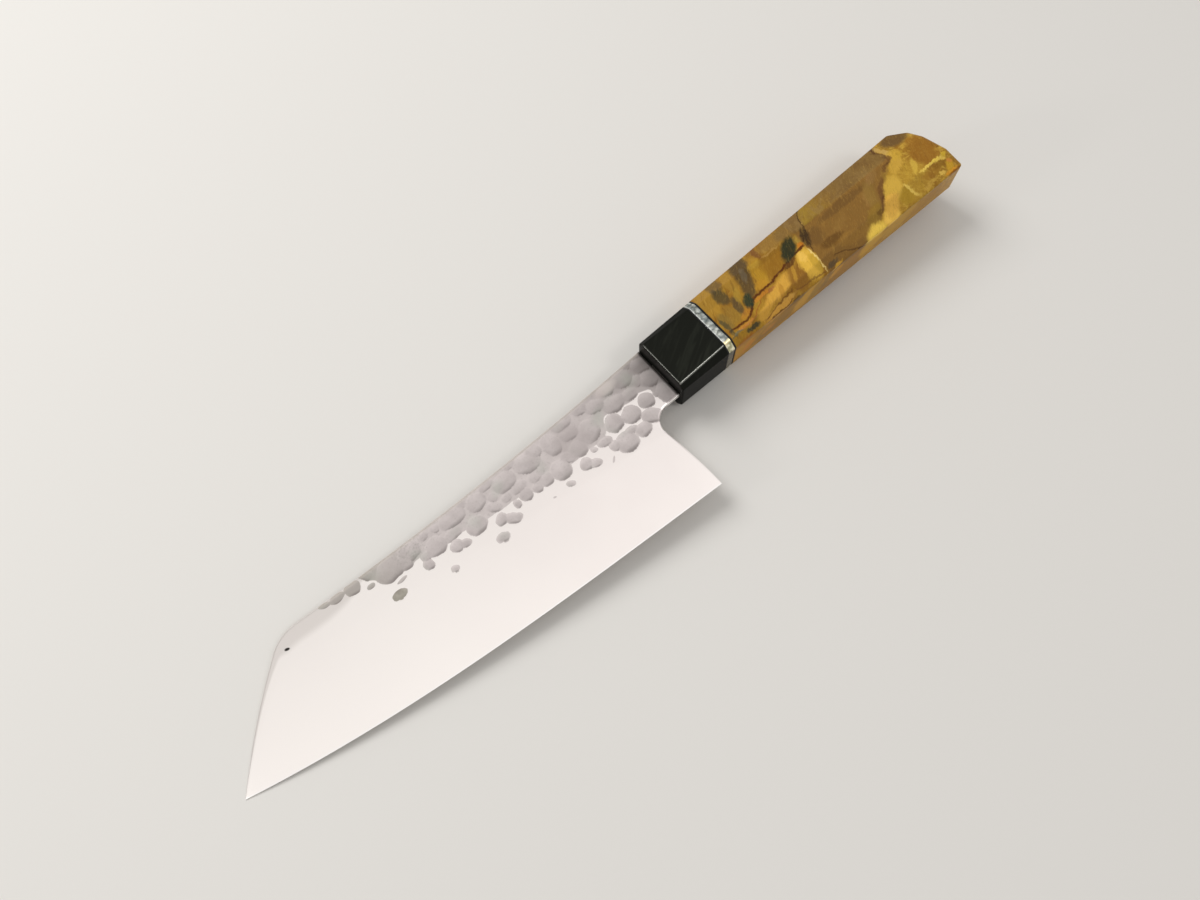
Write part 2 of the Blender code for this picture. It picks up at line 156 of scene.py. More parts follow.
# Hammer marks of the upper side: place, half length, half width (mm), turn (degrees), depth share
UPPER_MARKS = (
    (-4.0, 1.2, 3.4, 3.4, 0, 1.2), (-3.0, 6.8, 3.6, 3.4, 0, 0.8), (-10.6, 7.0, 4.0, 3.5, 0, 1.1),
    (-17.3, 7.9, 3.8, 2.6, 0, 1.0), (-23.9, 5.8, 3.8, 2.8, -12, 1.2), (-28.3, 8.4, 3.0, 2.4, -10, 1.0),
    (-35.8, 8.8, 4.5, 2.9, 0, 1.0), (-36.0, 4.4, 3.8, 2.7, -5, 1.1), (-42.8, 5.0, 3.3, 4.5, 5, 1.1),
    (-48.5, 7.2, 3.2, 3.2, 0, 0.8), (-18.2, 2.4, 4.6, 3.1, -4, 1.2), (-12.5, 1.4, 3.2, 2.5, 0, 1.0),
    (-7.4, 3.4, 2.6, 2.4, 0, 0.7), (-9.7, -3.9, 2.7, 2.85, 0, 1.0), (-16.45, -4.2, 3.65, 3.1, 0, 1.1),
    (-22.6, -2.8, 3.5, 3.2, 8, 0.9), (-3.1, -6.0, 3.0, 4.3, 0, 0.9), (-6.0, -4.3, 1.0, 1.2, 0, 0.7),
    (-11.5, -9.3, 4.1, 2.6, -35, 1.0), (-16.8, -10.7, 3.1, 2.4, 0, 1.0), (-23.7, -10.4, 3.8, 3.7, 0, 1.0),
    (-27.2, -8.7, 2.0, 1.9, 0, 0.9), (-20.3, -8.4, 2.7, 1.6, 0, 0.8), (-28.9, -5.5, 2.7, 1.7, -8, 0.9),
    (-33.3, -5.3, 1.4, 0.9, -30, 0.8), (-38.2, -7.3, 2.2, 2.1, 0, 1.0), (-35.7, -9.0, 2.3, 1.6, -20, 1.0),
    (-46.2, -9.1, 1.8, 1.15, -28, 1.0), (-30.8, -12.0, 1.4, 0.45, 42, 0.7), (-45.6, -3.4, 3.7, 3.7, 0, 1.0),
    (-41.2, -1.8, 3.2, 2.0, -35, 0.8), (-31.0, 0.6, 5.2, 4.4, 20, 0.6), (-36.8, -1.6, 3.6, 3.2, 0, 0.6),
    (-52.4, 5.6, 5.3, 3.6, -14, 1.1), (-61.9, 5.5, 4.8, 3.5, 0, 1.1), (-67.8, 3.8, 1.9, 2.2, -30, 0.9),
    (-72.8, 6.3, 4.0, 3.3, 0, 1.0), (-81.8, 7.3, 5.4, 3.3, 0, 1.1), (-90.9, 3.4, 3.8, 3.4, 0, 1.1),
    (-96.1, 0.4, 1.7, 2.0, 0, 1.0), (-95.2, 2.8, 1.7, 1.9, 0, 0.9), (-98.3, 7.6, 4.2, 3.5, 0, 0.8),
    (-92.4, 8.4, 2.2, 1.6, 0, 0.8), (-88.2, 8.3, 2.0, 1.7, 0, 0.9), (-86.1, -1.0, 2.1, 2.1, 0, 1.1),
    (-83.4, -2.1, 2.1, 1.3, -16, 1.0), (-77.2, 0.4, 3.8, 3.2, 6, 1.1), (-69.3, 1.1, 3.3, 2.1, -26, 0.9),
    (-70.0, -3.7, 2.1, 2.0, 0, 1.1), (-66.8, -5.7, 2.8, 1.8, -24, 1.1), (-62.9, -3.0, 1.4, 1.5, 0, 0.9),
    (-59.0, -2.2, 2.3, 2.6, 0, 0.9), (-55.1, -2.8, 1.8, 2.2, 0, 1.0), (-51.3, -2.6, 2.7, 2.7, 0, 0.9),
    (-59.6, 1.2, 3.8, 2.5, 0, 0.6), (-52.6, 0.6, 4.0, 2.7, 0, 0.6), (-64.4, 1.0, 2.6, 2.0, 0, 0.7),
    (-84.8, 3.0, 4.4, 2.2, 0, 0.6), (-73.4, -8.2, 2.4, 1.55, 0, 1.1), (-90.7, -6.2, 1.5, 1.05, -12, 1.0),
    (-52.8, -9.0, 0.6, 0.45, -30, 0.5), (-106.9, 7.2, 4.9, 3.9, 12, 1.0), (-104.8, 6.8, 2.9, 3.3, 0, 0.9),
    (-101.2, 6.2, 3.2, 3.0, 0, 0.7), (-113.8, 6.8, 1.35, 0.85, -5, 0.9), (-105.2, 2.0, 2.0, 0.65, 4, 0.8),
    (-108.8, -1.4, 2.6, 1.7, -6, 1.2), (-118.9, 10.0, 2.6, 2.3, 0, 1.1), (-124.1, 10.6, 2.7, 1.35, -6, 0.9),
    (-128.3, 11.5, 2.4, 0.8, -10, 0.7), (-113.2, 10.7, 2.6, 1.9, -35, 0.9), (-57.4, 8.8, 3.0, 2.0, 0, 0.8),
    (-67.2, 8.6, 3.2, 2.2, 0, 0.8), (-77.4, 8.9, 2.6, 2.0, 0, 0.6), (-7.0, 9.6, 2.0, 1.8, 0, 0.6),
    (-144.8, 8.1, 0.8, 0.4, -20, 0.9),
)

# Lower side: seed, number and reach (mm) of its marks, and their sizes (mm)
LOWER_MARK_SEED = 7
LOWER_MARK_COUNT = 84
LOWER_MARK_REACH = 126
LARGE_MARK_SIZES = (2.0, 4.8)
SMALL_MARK_SIZES = (0.8, 1.7)

# How far a mark's depth leans to the edge, and the half width from which it has its full depth
MARK_LEAN = 0.45
FULL_MARK_SIZE = 3.4 * MM

# Lower border of the forged skin: distance ahead of the ferrule and height above the axis (mm)
SKIN_BORDER = (
    (0, -12), (4.6, -11), (6.2, -2.0), (8, -1.1), (10, -0.5), (13, -1.1), (16, -0.8), (19, 0.4),
    (22.5, 0.8), (25, -0.4), (27, -4.2), (31, -4.6), (38, -4.4), (49, -4.4), (57, -3.4), (61, -2.0),
    (66, -1.4), (72, -0.8), (79, 0.6), (84, 1.3), (88, 1.5), (93, 3.0), (96, 3.6), (104, 3.7),
    (109, 4.6), (112, 7.2), (115, 10.4), (118, 14), (180, 16),
)

# Width of the softer grey band below the spine's end and the clip, by distance ahead (mm)
SOFT_BAND = (
    (110, 0), (116, 2.0), (124, 4.8), (134, 5.6), (143, 5.3), (149, 2.6), (158, 1.3), (172, 0.6), (180, 0),
)

# Marks with a look of their own, and the pit near the point: place, radii (mm), turn (degrees), share
DULL_MARK = (-37.0, 1.5, 5.2, 5.2, 0, 0.5)
PALE_MARK = (-17.0, 8.3, 3.6, 1.8, 0, 0.45)
STAINED_MARK = (-108.8, -1.4, 2.8, 1.9, -6, 0.8)
SCALY_MARK = (-98.4, 7.6, 4.0, 3.0, 0, 0.4)
DARK_PIT = (-144.8, 8.15, 0.8, 0.42, -20, 1.0)

# Floor, background and camera
FLOOR_HALF_SIZE = 3.0
BACKGROUND_STRENGTH = 0.95
CAMERA_LENS = 28.0
CAMERA_SENSOR = 36.0
CAMERA_PLACE = (-0.073197, -0.069874, 0.28983)
CAMERA_TURN = (math.radians(19.83), 0.0, math.radians(-40.77))


def paint(red, green, blue):
    """Linear colour of a tone given as it shows on a screen, 0 to 255."""
    linear = []
    for tone in (red, green, blue):
        share = tone / 255
        linear.append(share / 12.92 if share <= 0.04045 else ((share + 0.055) / 1.055) ** 2.4)
    return tuple(linear)


# Settings that a user would change

def colour(name, description, red, green, blue):
    return FloatVectorProperty(name=name, description=description, default=paint(red, green, blue),
                               size=3, min=0, max=1, subtype="COLOR")


def length(name, description, default, largest):
    return FloatProperty(name=name, description=description, default=default, min=0, max=largest,
                         subtype="DISTANCE", unit="LENGTH", precision=5)


def factor(name, description, default):
    return FloatProperty(name=name, description=description, default=default, min=0, max=1,
                         subtype="FACTOR")


def lamp_power(name, description, default):
    return FloatProperty(name=name, description=description, default=default, min=0, max=200,
                         subtype="POWER", unit="POWER")


class KnifeBladeSettings(bpy.types.PropertyGroup):
    ground_colour: colour("Ground Steel", "Colour of the ground and satin-polished bevel", 239, 226, 223)
    forged_colour: colour("Forged Steel", "Colour of the forging skin in the hammer marks", 194, 185, 183)
    mark_depth: length("Mark Depth", "Depth of a full hammer mark", 0.2 * MM, 0.4 * MM)
    ground_roughness: factor("Ground Roughness", "Roughness of the satin bevel", 0.36)
    forged_roughness: factor("Forged Roughness", "Roughness of the forging skin", 0.5)


class KnifeHandleSettings(bpy.types.PropertyGroup):
    horn_colour: colour("Horn", "Colour of the polished black ferrule", 32, 33, 29)
    fibre_colour: colour("Fibre", "Colour of the thin black plates", 14, 14, 14)
    metal_colour: colour("Spacer Metal", "Colour of the patterned metal plate", 202, 205, 198)
    burl_colour: colour("Burl", "Main golden colour of the dyed burl", 170, 128, 42)
    smoke_colour: colour("Smoke", "Smoky brown colour of the clear resin in the burl", 133, 98, 46)
    teal_colour: colour("Teal", "Dark teal pockets in the burl", 34, 46, 34)
    vein_colour: colour("Vein", "Red-brown veins of the burl", 86, 40, 14)
    edge_softness: FloatProperty(name="Edge Softness", description="How softly the facets of the block meet",
                                 default=2.2, min=0.2, max=10)
    ripple_height: length("Ripple Height", "Height of the pattern on the metal plate", 0.1 * MM, 0.3 * MM)
    points_around: IntProperty(name="Points Around", description="Points round each section of the handle",
                               default=240, min=32, max=400)


class KnifeStageSettings(bpy.types.PropertyGroup):
    floor_colour: colour("Floor", "Colour of the plain floor", 226, 223, 218)
    key_power: lamp_power("Key Lamp", "Power of the large lamp on the spine side", 7.2)
    edge_power: lamp_power("Edge Lamps", "Power of each small lamp that lights the folds", 0.7)
    sky_strength: FloatProperty(name="Sky", description="Strength of the even light from all round",
                                default=0.52, min=0, max=5)


# Node trees

class Value:
    """Number in a node tree. Arithmetic on it adds Math nodes."""

    def __init__(self, tree, socket):
        self.tree = tree
        self.socket = socket

    def math(self, operation, *others):
        items = dict(enumerate((self, *others)))
        node = add_node(self.tree, "ShaderNodeMath", items, operation=operation)
        return Value(self.tree, node.outputs[0])

    def __add__(self, other):
        return self.math("ADD", other)

    def __sub__(self, other):
        return self.math("SUBTRACT", other)

    def __mul__(self, other):
        return self.math("MULTIPLY", other)

    def __truediv__(self, other):
        return self.math("DIVIDE", other)

    def __neg__(self):
        return self.math("MULTIPLY", -1.0)

    def __abs__(self):
        return self.math("ABSOLUTE")

    def cos(self):
        return self.math("COSINE")

    def sin(self):
        return self.math("SINE")

    def root(self):
        return self.math("SQRT")

    def least(self, other):
        return self.math("MINIMUM", other)

    def most(self, other):
        return self.math("MAXIMUM", other)

    def most_soft(self, other, softness):
        return self.math("SMOOTH_MAX", other, softness)

    def ramp(self, start, end, low=0.0, high=1.0, kind="LINEAR"):
        """Share of the way from start to end, held at both ends."""
        items = {"Value": self, "From Min": start, "From Max": end, "To Min": low, "To Max": high}
        node = add_node(self.tree, "ShaderNodeMapRange", items, interpolation_type=kind)
        return Value(self.tree, node.outputs["Result"])

    def ease(self, start, end, low=0.0, high=1.0):
        return self.ramp(start, end, low, high, "SMOOTHSTEP")

    def curve(self, points, start, end, low, high):
        """Free curve through points (input, output), both in the units of the ranges."""
        node = self.tree.nodes.new("ShaderNodeFloatCurve")
        line = node.mapping.curves[0]
        spots = [((a - start) / (end - start), (b - low) / (high - low)) for a, b in points]
        for index, spot in enumerate(spots):
            if index < len(line.points):
                line.points[index].location = spot
            else:
                line.points.new(*spot)
        for point in line.points:
            point.handle_type = "AUTO_CLAMPED"
        node.mapping.use_clip = False
        node.mapping.update()
        plug(self.tree, self.ramp(start, end), node.inputs["Value"])
        return Value(self.tree, node.outputs["Value"]).ramp(0.0, 1.0, low, high)


class Layers:
    """Colour in a material's tree, with each further colour laid over the ones before."""

    def __init__(self, tree, colour):
        self.tree = tree
        self.socket = colour

    def lay(self, share, colour):
        """Lays a colour on top, by a share from 0 to 1."""
        items = {"Factor": share, 6: self.socket, 7: colour}
        self.socket = add_node(self.tree, "ShaderNodeMix", items, data_type="RGBA").outputs[2]
        return self

    def lay_spots(self, place, rows):
        """Lays the ellipses of a figure table on top, one after the other."""
        for row in rows:
            self.lay(ellipse(self.tree, place, row), paint(*row[6]))


def plug(tree, item, slot):
    """Joins a value or colour to a socket, or writes a plain number or colour into it."""
    item = getattr(item, "socket", item)
    if isinstance(item, bpy.types.NodeSocket):
        tree.links.new(item, slot)
    elif slot.type == "RGBA":
        slot.default_value = (*item[:3], 1.0)
    else:
        slot.default_value = item


def add_node(tree, kind, inputs=None, **settings):
    node = tree.nodes.new(kind)
    for name, item in settings.items():
        setattr(node, name, item)
    for name, item in (inputs or {}).items():
        plug(tree, item, node.inputs[name])
    return node


def split(tree, vector):
    node = add_node(tree, "ShaderNodeSeparateXYZ", {0: vector})
    return [Value(tree, node.outputs[axis]) for axis in range(3)]


def join(tree, x, y, z):
    return add_node(tree, "ShaderNodeCombineXYZ", {0: x, 1: y, 2: z}).outputs[0]


def noise(tree, vector, scale, detail=2.0, roughness=0.5, distortion=0.0):
    node = add_node(tree, "ShaderNodeTexNoise", {"Vector": vector, "Scale": scale, "Detail": detail,
                                                 "Roughness": roughness, "Distortion": distortion})
    return Value(tree, node.outputs["Fac"])


def wander(tree, vector, scale, detail):
    """Three noises from -0.5 to 0.5, which push a place aside along the axes."""
    node = add_node(tree, "ShaderNodeTexNoise", {"Vector": vector, "Scale": scale, "Detail": detail})
    return [axis - 0.5 for axis in split(tree, node.outputs["Color"])]


SOCKET_KINDS = {float: "NodeSocketFloat", int: "NodeSocketInt"}


def new_shape_tree(name, inputs):
    """Geometry tree, with inputs given by a default or a kind, and a function that reads them."""
    tree = bpy.data.node_groups.new(name, "GeometryNodeTree")
    tree.interface.new_socket(name="Geometry", in_out="OUTPUT", socket_type="NodeSocketGeometry")
    for title, default in inputs.items():
        kind = SOCKET_KINDS.get(type(default), default)
        socket = tree.interface.new_socket(name=title, in_out="INPUT", socket_type=kind)
        if kind != default:
            socket.default_value = default
    source = tree.nodes.new("NodeGroupInput")

    def given(title):
        return Value(tree, source.outputs[title])

    return tree, given


def finish_shape_tree(tree, geometry, material):
    smooth = add_node(tree, "GeometryNodeSetShadeSmooth", {"Geometry": geometry})
    real = add_node(tree, "GeometryNodeRealizeInstances", {"Geometry": smooth.outputs[0]})
    painted = add_node(tree, "GeometryNodeSetMaterial", {"Geometry": real.outputs[0],
                                                         "Material": material})
    end = tree.nodes.new("NodeGroupOutput")
    tree.links.new(painted.outputs[0], end.inputs["Geometry"])


def grow(name, start_mesh, tree, values):
    """Runs a geometry tree on a mesh and returns the finished piece as a plain object."""
    base = bpy.data.objects.new(name + "_base", start_mesh)
    bpy.context.scene.collection.objects.link(base)
    modifier = base.modifiers.new(tree.name, "NODES")
    modifier.node_group = tree
    for item in tree.interface.items_tree:
        if item.item_type == "SOCKET" and item.in_out == "INPUT" and item.name in values:
            modifier[item.identifier] = values[item.name]
    bpy.context.view_layer.update()
    result = bpy.data.meshes.new_from_object(base.evaluated_get(bpy.context.evaluated_depsgraph_get()))
    base.modifiers.clear()
    bpy.data.objects.remove(base, do_unlink=True)
    if not result.polygons:
        raise RuntimeError(f"the tree {tree.name} made no faces for {name}")
    result.name = name
    piece = bpy.data.objects.new(name, result)
    bpy.context.scene.collection.objects.link(piece)
    return piece


def write_attribute(mesh, name, numbers, domain="POINT"):
    """Stores a number for each point or face, for the trees and materials that read it by name."""
    data = mesh.attributes.new(name, "FLOAT", domain).data
    data.foreach_set("value", np.asarray(numbers, np.float32))


def lay_down(piece, sharp_angle):
    """Moves the piece's mesh from the knife's frame to the resting place."""
    piece.data.transform(Matrix.Translation(KNIFE_PLACE) @ Matrix.Rotation(KNIFE_PITCH, 4, "Y"))
    piece.data.set_sharp_from_angle(angle=math.radians(sharp_angle))
    piece.data.update()


# Blade skin

def mix(start, end, share):
    return start + (end - start) * share


def edge_points(share):
    run = math.sqrt(EDGE_LENGTH ** 2 - EDGE_RISE ** 2)
    rise = EDGE_FLAT_SHARE * share + (1 - EDGE_FLAT_SHARE) * share ** EDGE_BELLY_POWER
    return np.stack([-HEEL_SETBACK - run * share, -HEEL_DROP + EDGE_RISE * rise], -1)


def spine_points(distance):
    share = distance / SPINE_LENGTH
    height = NECK_TOP + SPINE_RISE * share - 4 * SPINE_HOLLOW * share * (1 - share)
    return np.stack([-distance, height], -1)


def unit(vector):
    return vector / np.linalg.norm(vector)


def turned(vector, angle):
    """Vectors turned by each of the angles."""
    cos, sin = np.cos(angle), np.sin(angle)
    return np.stack([cos * vector[0] - sin * vector[1], sin * vector[0] + cos * vector[1]], -1)


def corner_points():
    """Arc between the spine and the clip, from spine to clip."""
    corner = spine_points(SPINE_LENGTH)
    along_spine = unit(spine_points(SPINE_LENGTH * CORNER_SLOPE_SHARE) - corner)
    along_clip = unit(edge_points(1.0) - corner)
    turn = math.pi - math.acos(float(along_spine @ along_clip))
    start = corner + along_spine * CORNER_RADIUS * math.tan(turn / 2)
    centre = corner + unit(along_spine + along_clip) * CORNER_RADIUS / math.cos(turn / 2)
    angles = turn * np.linspace(0, 1, STATIONS_CORNER + 1)
    return centre + turned(start - centre, angles)


def clip_points(start):
    share = np.linspace(0, 1, STATIONS_CLIP + 1)[1:, None]
    chord = edge_points(1.0) - start
    outward = unit(np.array([chord[1], -chord[0]]))
    return start + chord * share + outward * 4 * CLIP_BOW * share * (1 - share)


def choil_points(angle):
    centre = np.array([CHOIL_RADIUS - CHOIL_REACH, -NECK_BOTTOM - CHOIL_RADIUS])
    return centre + CHOIL_RADIUS * np.stack([np.cos(angle), np.sin(angle)], -1)


def spine_thickness(points):
    distance = -points[..., 0]
    near = mix(SPINE_THICKNESS_NECK, SPINE_THICKNESS_CORNER, distance / SPINE_LENGTH)
    past = (distance - SPINE_LENGTH) / (-edge_points(1.0)[0] - SPINE_LENGTH)
    return np.where(distance <= SPINE_LENGTH, near, mix(SPINE_THICKNESS_CORNER, TIP_THICKNESS, past))


def blade_lines():
    """Edge, grind line and top line with the thickness at the grind line, from heel to tip."""
    arc = corner_points()
    spine = spine_points(np.linspace(TOP_START, -arc[0, 0], STATIONS_SPINE, endpoint=False))
    top = np.concatenate([spine, arc, clip_points(arc[-1])])
    arc_end = STATIONS_SPINE + STATIONS_CORNER
    tip = edge_points(1.0)
    arc_foot = top[arc_end, 0] / tip[0]
    share = np.arange(arc_end + 1) / arc_end
    past = np.arange(1, STATIONS_CLIP + 1) / STATIONS_CLIP
    edge = np.concatenate([edge_points(arc_foot * share), edge_points(mix(arc_foot, 1, past))])
    start = choil_points(np.array(CHOIL_START_ANGLE))
    band_end = top[arc_end] + unit(edge[arc_end] - top[arc_end]) * UPPER_BAND_CORNER
    inward = edge[arc_end + 1:] - top[arc_end + 1:]
    reach = np.linalg.norm(inward, axis=1)
    band = np.minimum(mix(UPPER_BAND_CORNER, 0, past), reach / 2)
    past_grind = top[arc_end + 1:] + inward * (band / np.maximum(reach, 1e-9))[:, None]
    grind = np.concatenate([start + (band_end - start) * share[:, None], past_grind])
    thickness = np.concatenate([mix(GRIND_THICKNESS_HEEL, GRIND_THICKNESS_CORNER, share),
                                mix(GRIND_THICKNESS_CORNER, TIP_THICKNESS, past)])
    return edge, grind, top, thickness


def heel_bow(share):
    """How far the line from heel to choil bows back behind its chord."""
    top = choil_points(np.array(CHOIL_START_ANGLE))[0]
    return (top + HEEL_SETBACK) * (share ** HEEL_LINE_POWER - share)


def blade_grid():
    """Points (x, y, half thickness) in rows from edge to spine and columns from tip to shoulder.

    The first grid is the ground bevel, with its rows crowded near the grind line. The second
    is the flat above it, which goes on behind the choil as the neck.
    """
    edge, grind, top, thickness = blade_lines()
    rise = 1 - (1 - np.linspace(0, 1, ROWS_BEVEL + 1)[:, None, None]) ** BEVEL_CROWDING
    bevel = edge + (grind - edge) * rise
    half = mix(EDGE_THICKNESS, thickness, rise[..., 0]) / 2
    fade = np.clip(1 - np.arange(len(edge)) / HEEL_FADE_STATIONS, 0, 1) ** 2
    bevel[..., 0] += heel_bow(rise[..., 0]) * fade
    bevel = np.concatenate([bevel, half[..., None]], -1)[:, ::-1]
    share = np.linspace(0, 1, ROWS_FLAT + 1)[:, None, None]
    flat = grind + (top - grind) * share
    half = mix(thickness, spine_thickness(top), share[..., 0]) / 2
    flat = np.concatenate([flat, half[..., None]], -1)[:, ::-1]
    step = np.arange(1, STATIONS_CHOIL + 1) / STATIONS_CHOIL
    below = choil_points(mix(CHOIL_START_ANGLE, math.pi / 2, step))
    straight = np.linspace(below[-1, 0], -GLUE_LINE, STATIONS_NECK + 1)[1:]
    below = np.concatenate([below, np.stack([straight, np.full(STATIONS_NECK, -NECK_BOTTOM)], -1)])
    count = len(below)
    above = spine_points(mix(TOP_START, GLUE_LINE, np.arange(1, count + 1) / count))
    neck = below + (above - below) * share
    past = np.clip(np.arange(1, count + 1) / STATIONS_CHOIL, 0, 1)
    lower = mix(GRIND_THICKNESS_HEEL, spine_thickness(above), past)
    half = mix(lower, spine_thickness(above), share[..., 0]) / 2
    neck = np.concatenate([neck, half[..., None]], -1)
    return bevel, np.concatenate([flat, neck], 1)


def ease_outline(points, outline):
    """Rounds the faces down towards the outline's corners, except at the cutting edge."""
    tree = KDTree(len(outline))
    for index, place in enumerate(outline):
        tree.insert((place[0], place[1], 0), index)
    tree.balance()
    away = np.array([tree.find((x, y, 0))[2] for x, y in points[:, :2].tolist()])
    share = np.clip(1 - away / EASED_WIDTH, 0, 1) ** 2
    points[:, 2] -= share * np.minimum(EASED_DROP, EASED_SHARE * points[:, 2])
    return points


def grid_faces(index):
    """Four-cornered faces of a grid, from its points' numbers in rows and columns."""
    corners = [index[:-1, :-1], index[:-1, 1:], index[1:, 1:], index[1:, :-1]]
    return np.stack(corners, -1).reshape(-1, 4)


def tang_bar():
    """Points and faces of the tang, a tapered bar that starts inside the neck."""
    ends = ((-GLUE_LINE * 2, TANG_WIDTH, SPINE_THICKNESS_NECK * TANG_ROOT_SHARE),
            (TANG_LENGTH, TANG_WIDTH_END, TANG_THICKNESS_END))
    points = [(x, side * width / 2, face * thick / 2)
              for x, width, thick in ends for side, face in ((-1, -1), (1, -1), (1, 1), (-1, 1))]
    faces = ((3, 2, 1, 0), (4, 5, 6, 7), (1, 5, 4, 0), (2, 6, 5, 1), (3, 7, 6, 2), (0, 4, 7, 3))
    return np.array(points), np.array(faces)


def blade_skin():
    """Closed blade with both sides, outline walls and tang, and what its material reads."""
    bevel, flat = blade_grid()
    bevel_columns, columns = bevel.shape[1], flat.shape[1]
    outline = np.concatenate([bevel[:, -1], flat[0, bevel_columns:], flat[:, -1], flat[-1]])
    points = ease_outline(np.concatenate([bevel[:-1].reshape(-1, 3), flat.reshape(-1, 3)]), outline)
    count = len(points)
    bevel_index = np.arange(ROWS_BEVEL * bevel_columns).reshape(ROWS_BEVEL, bevel_columns)
    flat_index = bevel_index.size + np.arange(flat.shape[0] * columns).reshape(-1, columns)
    bevel_index = np.concatenate([bevel_index, flat_index[:1, :bevel_columns]])
    faces = np.concatenate([grid_faces(bevel_index), grid_faces(flat_index)])
    rim = np.concatenate([bevel_index[0], bevel_index[1:, -1], flat_index[0, bevel_columns:],
                          flat_index[1:, -1], flat_index[-1, -2::-1]])
    walls = np.stack([rim[:-1], rim[:-1] + count, rim[1:] + count, rim[1:]], -1)
    bar, bar_faces = tang_bar()
    places = np.concatenate([points, points * (1, 1, -1), bar])
    quads = np.concatenate([faces, faces[:, ::-1] + count, walls, bar_faces + 2 * count])
    mesh = bpy.data.meshes.new("blade_skin")
    mesh.from_pydata(places.tolist(), [], quads.tolist())

    # How far each point is from the spine's line and from the cutting edge
    top = flat[-1, :, :2]
    below_top = np.concatenate([top[:bevel_columns]] * ROWS_BEVEL + [top] * flat.shape[0])
    inset = np.linalg.norm(points[:, :2] - below_top, axis=1)
    above_edge = np.full(count, EDGE_LENGTH)
    bevel_height = np.linalg.norm(bevel[:-1, :, :2] - bevel[0, :, :2], axis=-1)
    above_edge[:bevel_height.size] = bevel_height.ravel()
    tang = np.full(len(bar), EDGE_LENGTH)
    write_attribute(mesh, "inset", np.concatenate([inset, inset, tang]))
    write_attribute(mesh, "above_edge", np.concatenate([above_edge, above_edge, tang]))
    write_attribute(mesh, "side", np.repeat((1, -1, 0), (count, count, len(bar))))
    write_attribute(mesh, "wall", np.repeat((0, 1, 0), (2 * len(faces), len(walls), len(bar_faces))), "FACE")
    mesh.validate()
    return mesh


def lower_marks():
    """Marks of the side that is turned down, scattered between the skin's border and the spine."""
    rng = np.random.default_rng(LOWER_MARK_SEED)
    border = np.array(SKIN_BORDER)
    marks = []
    for index in range(LOWER_MARK_COUNT):
        distance = rng.uniform(1, LOWER_MARK_REACH)
        floor = np.interp(distance + 4, border[:, 0], border[:, 1])
        ceiling = float(spine_points(distance * MM)[1]) / MM
        height = mix(min(floor, ceiling) - 1.5, ceiling - 1, rng.random())
        size = rng.uniform(*(LARGE_MARK_SIZES if index % 5 else SMALL_MARK_SIZES))
        width = size * rng.uniform(0.65, 0.95)
        turn = rng.uniform(-40, 20)
        marks.append((-distance, height, size, width, turn, rng.uniform(0.6, 1.1)))
    return marks


def mark_cloud():
    """One loose point for each hammer mark, with its size, turn, depth and side."""
    rows = [(*mark, 1) for mark in UPPER_MARKS] + [(*mark, -1) for mark in lower_marks()]
    table = np.array(rows, float)
    mesh = bpy.data.meshes.new("hammer_mark_places")
    mesh.from_pydata([(x * MM, y * MM, 0) for x, y in table[:, :2]], [], [])
    columns = {"long": table[:, 2] * MM, "short": table[:, 3] * MM, "turn": np.radians(table[:, 4]),
               "share": table[:, 5], "face": table[:, 6]}
    for name, item in columns.items():
        write_attribute(mesh, name, item)
    cloud = bpy.data.objects.new("hammer_mark_places", mesh)
    bpy.context.scene.collection.objects.link(cloud)
    return cloud


def attribute(tree, name):
    node = add_node(tree, "GeometryNodeInputNamedAttribute", {"Name": name}, data_type="FLOAT")
    return Value(tree, node.outputs["Attribute"])


def store(tree, geometry, name, item):
    node = add_node(tree, "GeometryNodeStoreNamedAttribute",
                    {"Geometry": geometry, "Name": name, "Value": item}, data_type="FLOAT", domain="POINT")
    return node.outputs[0]


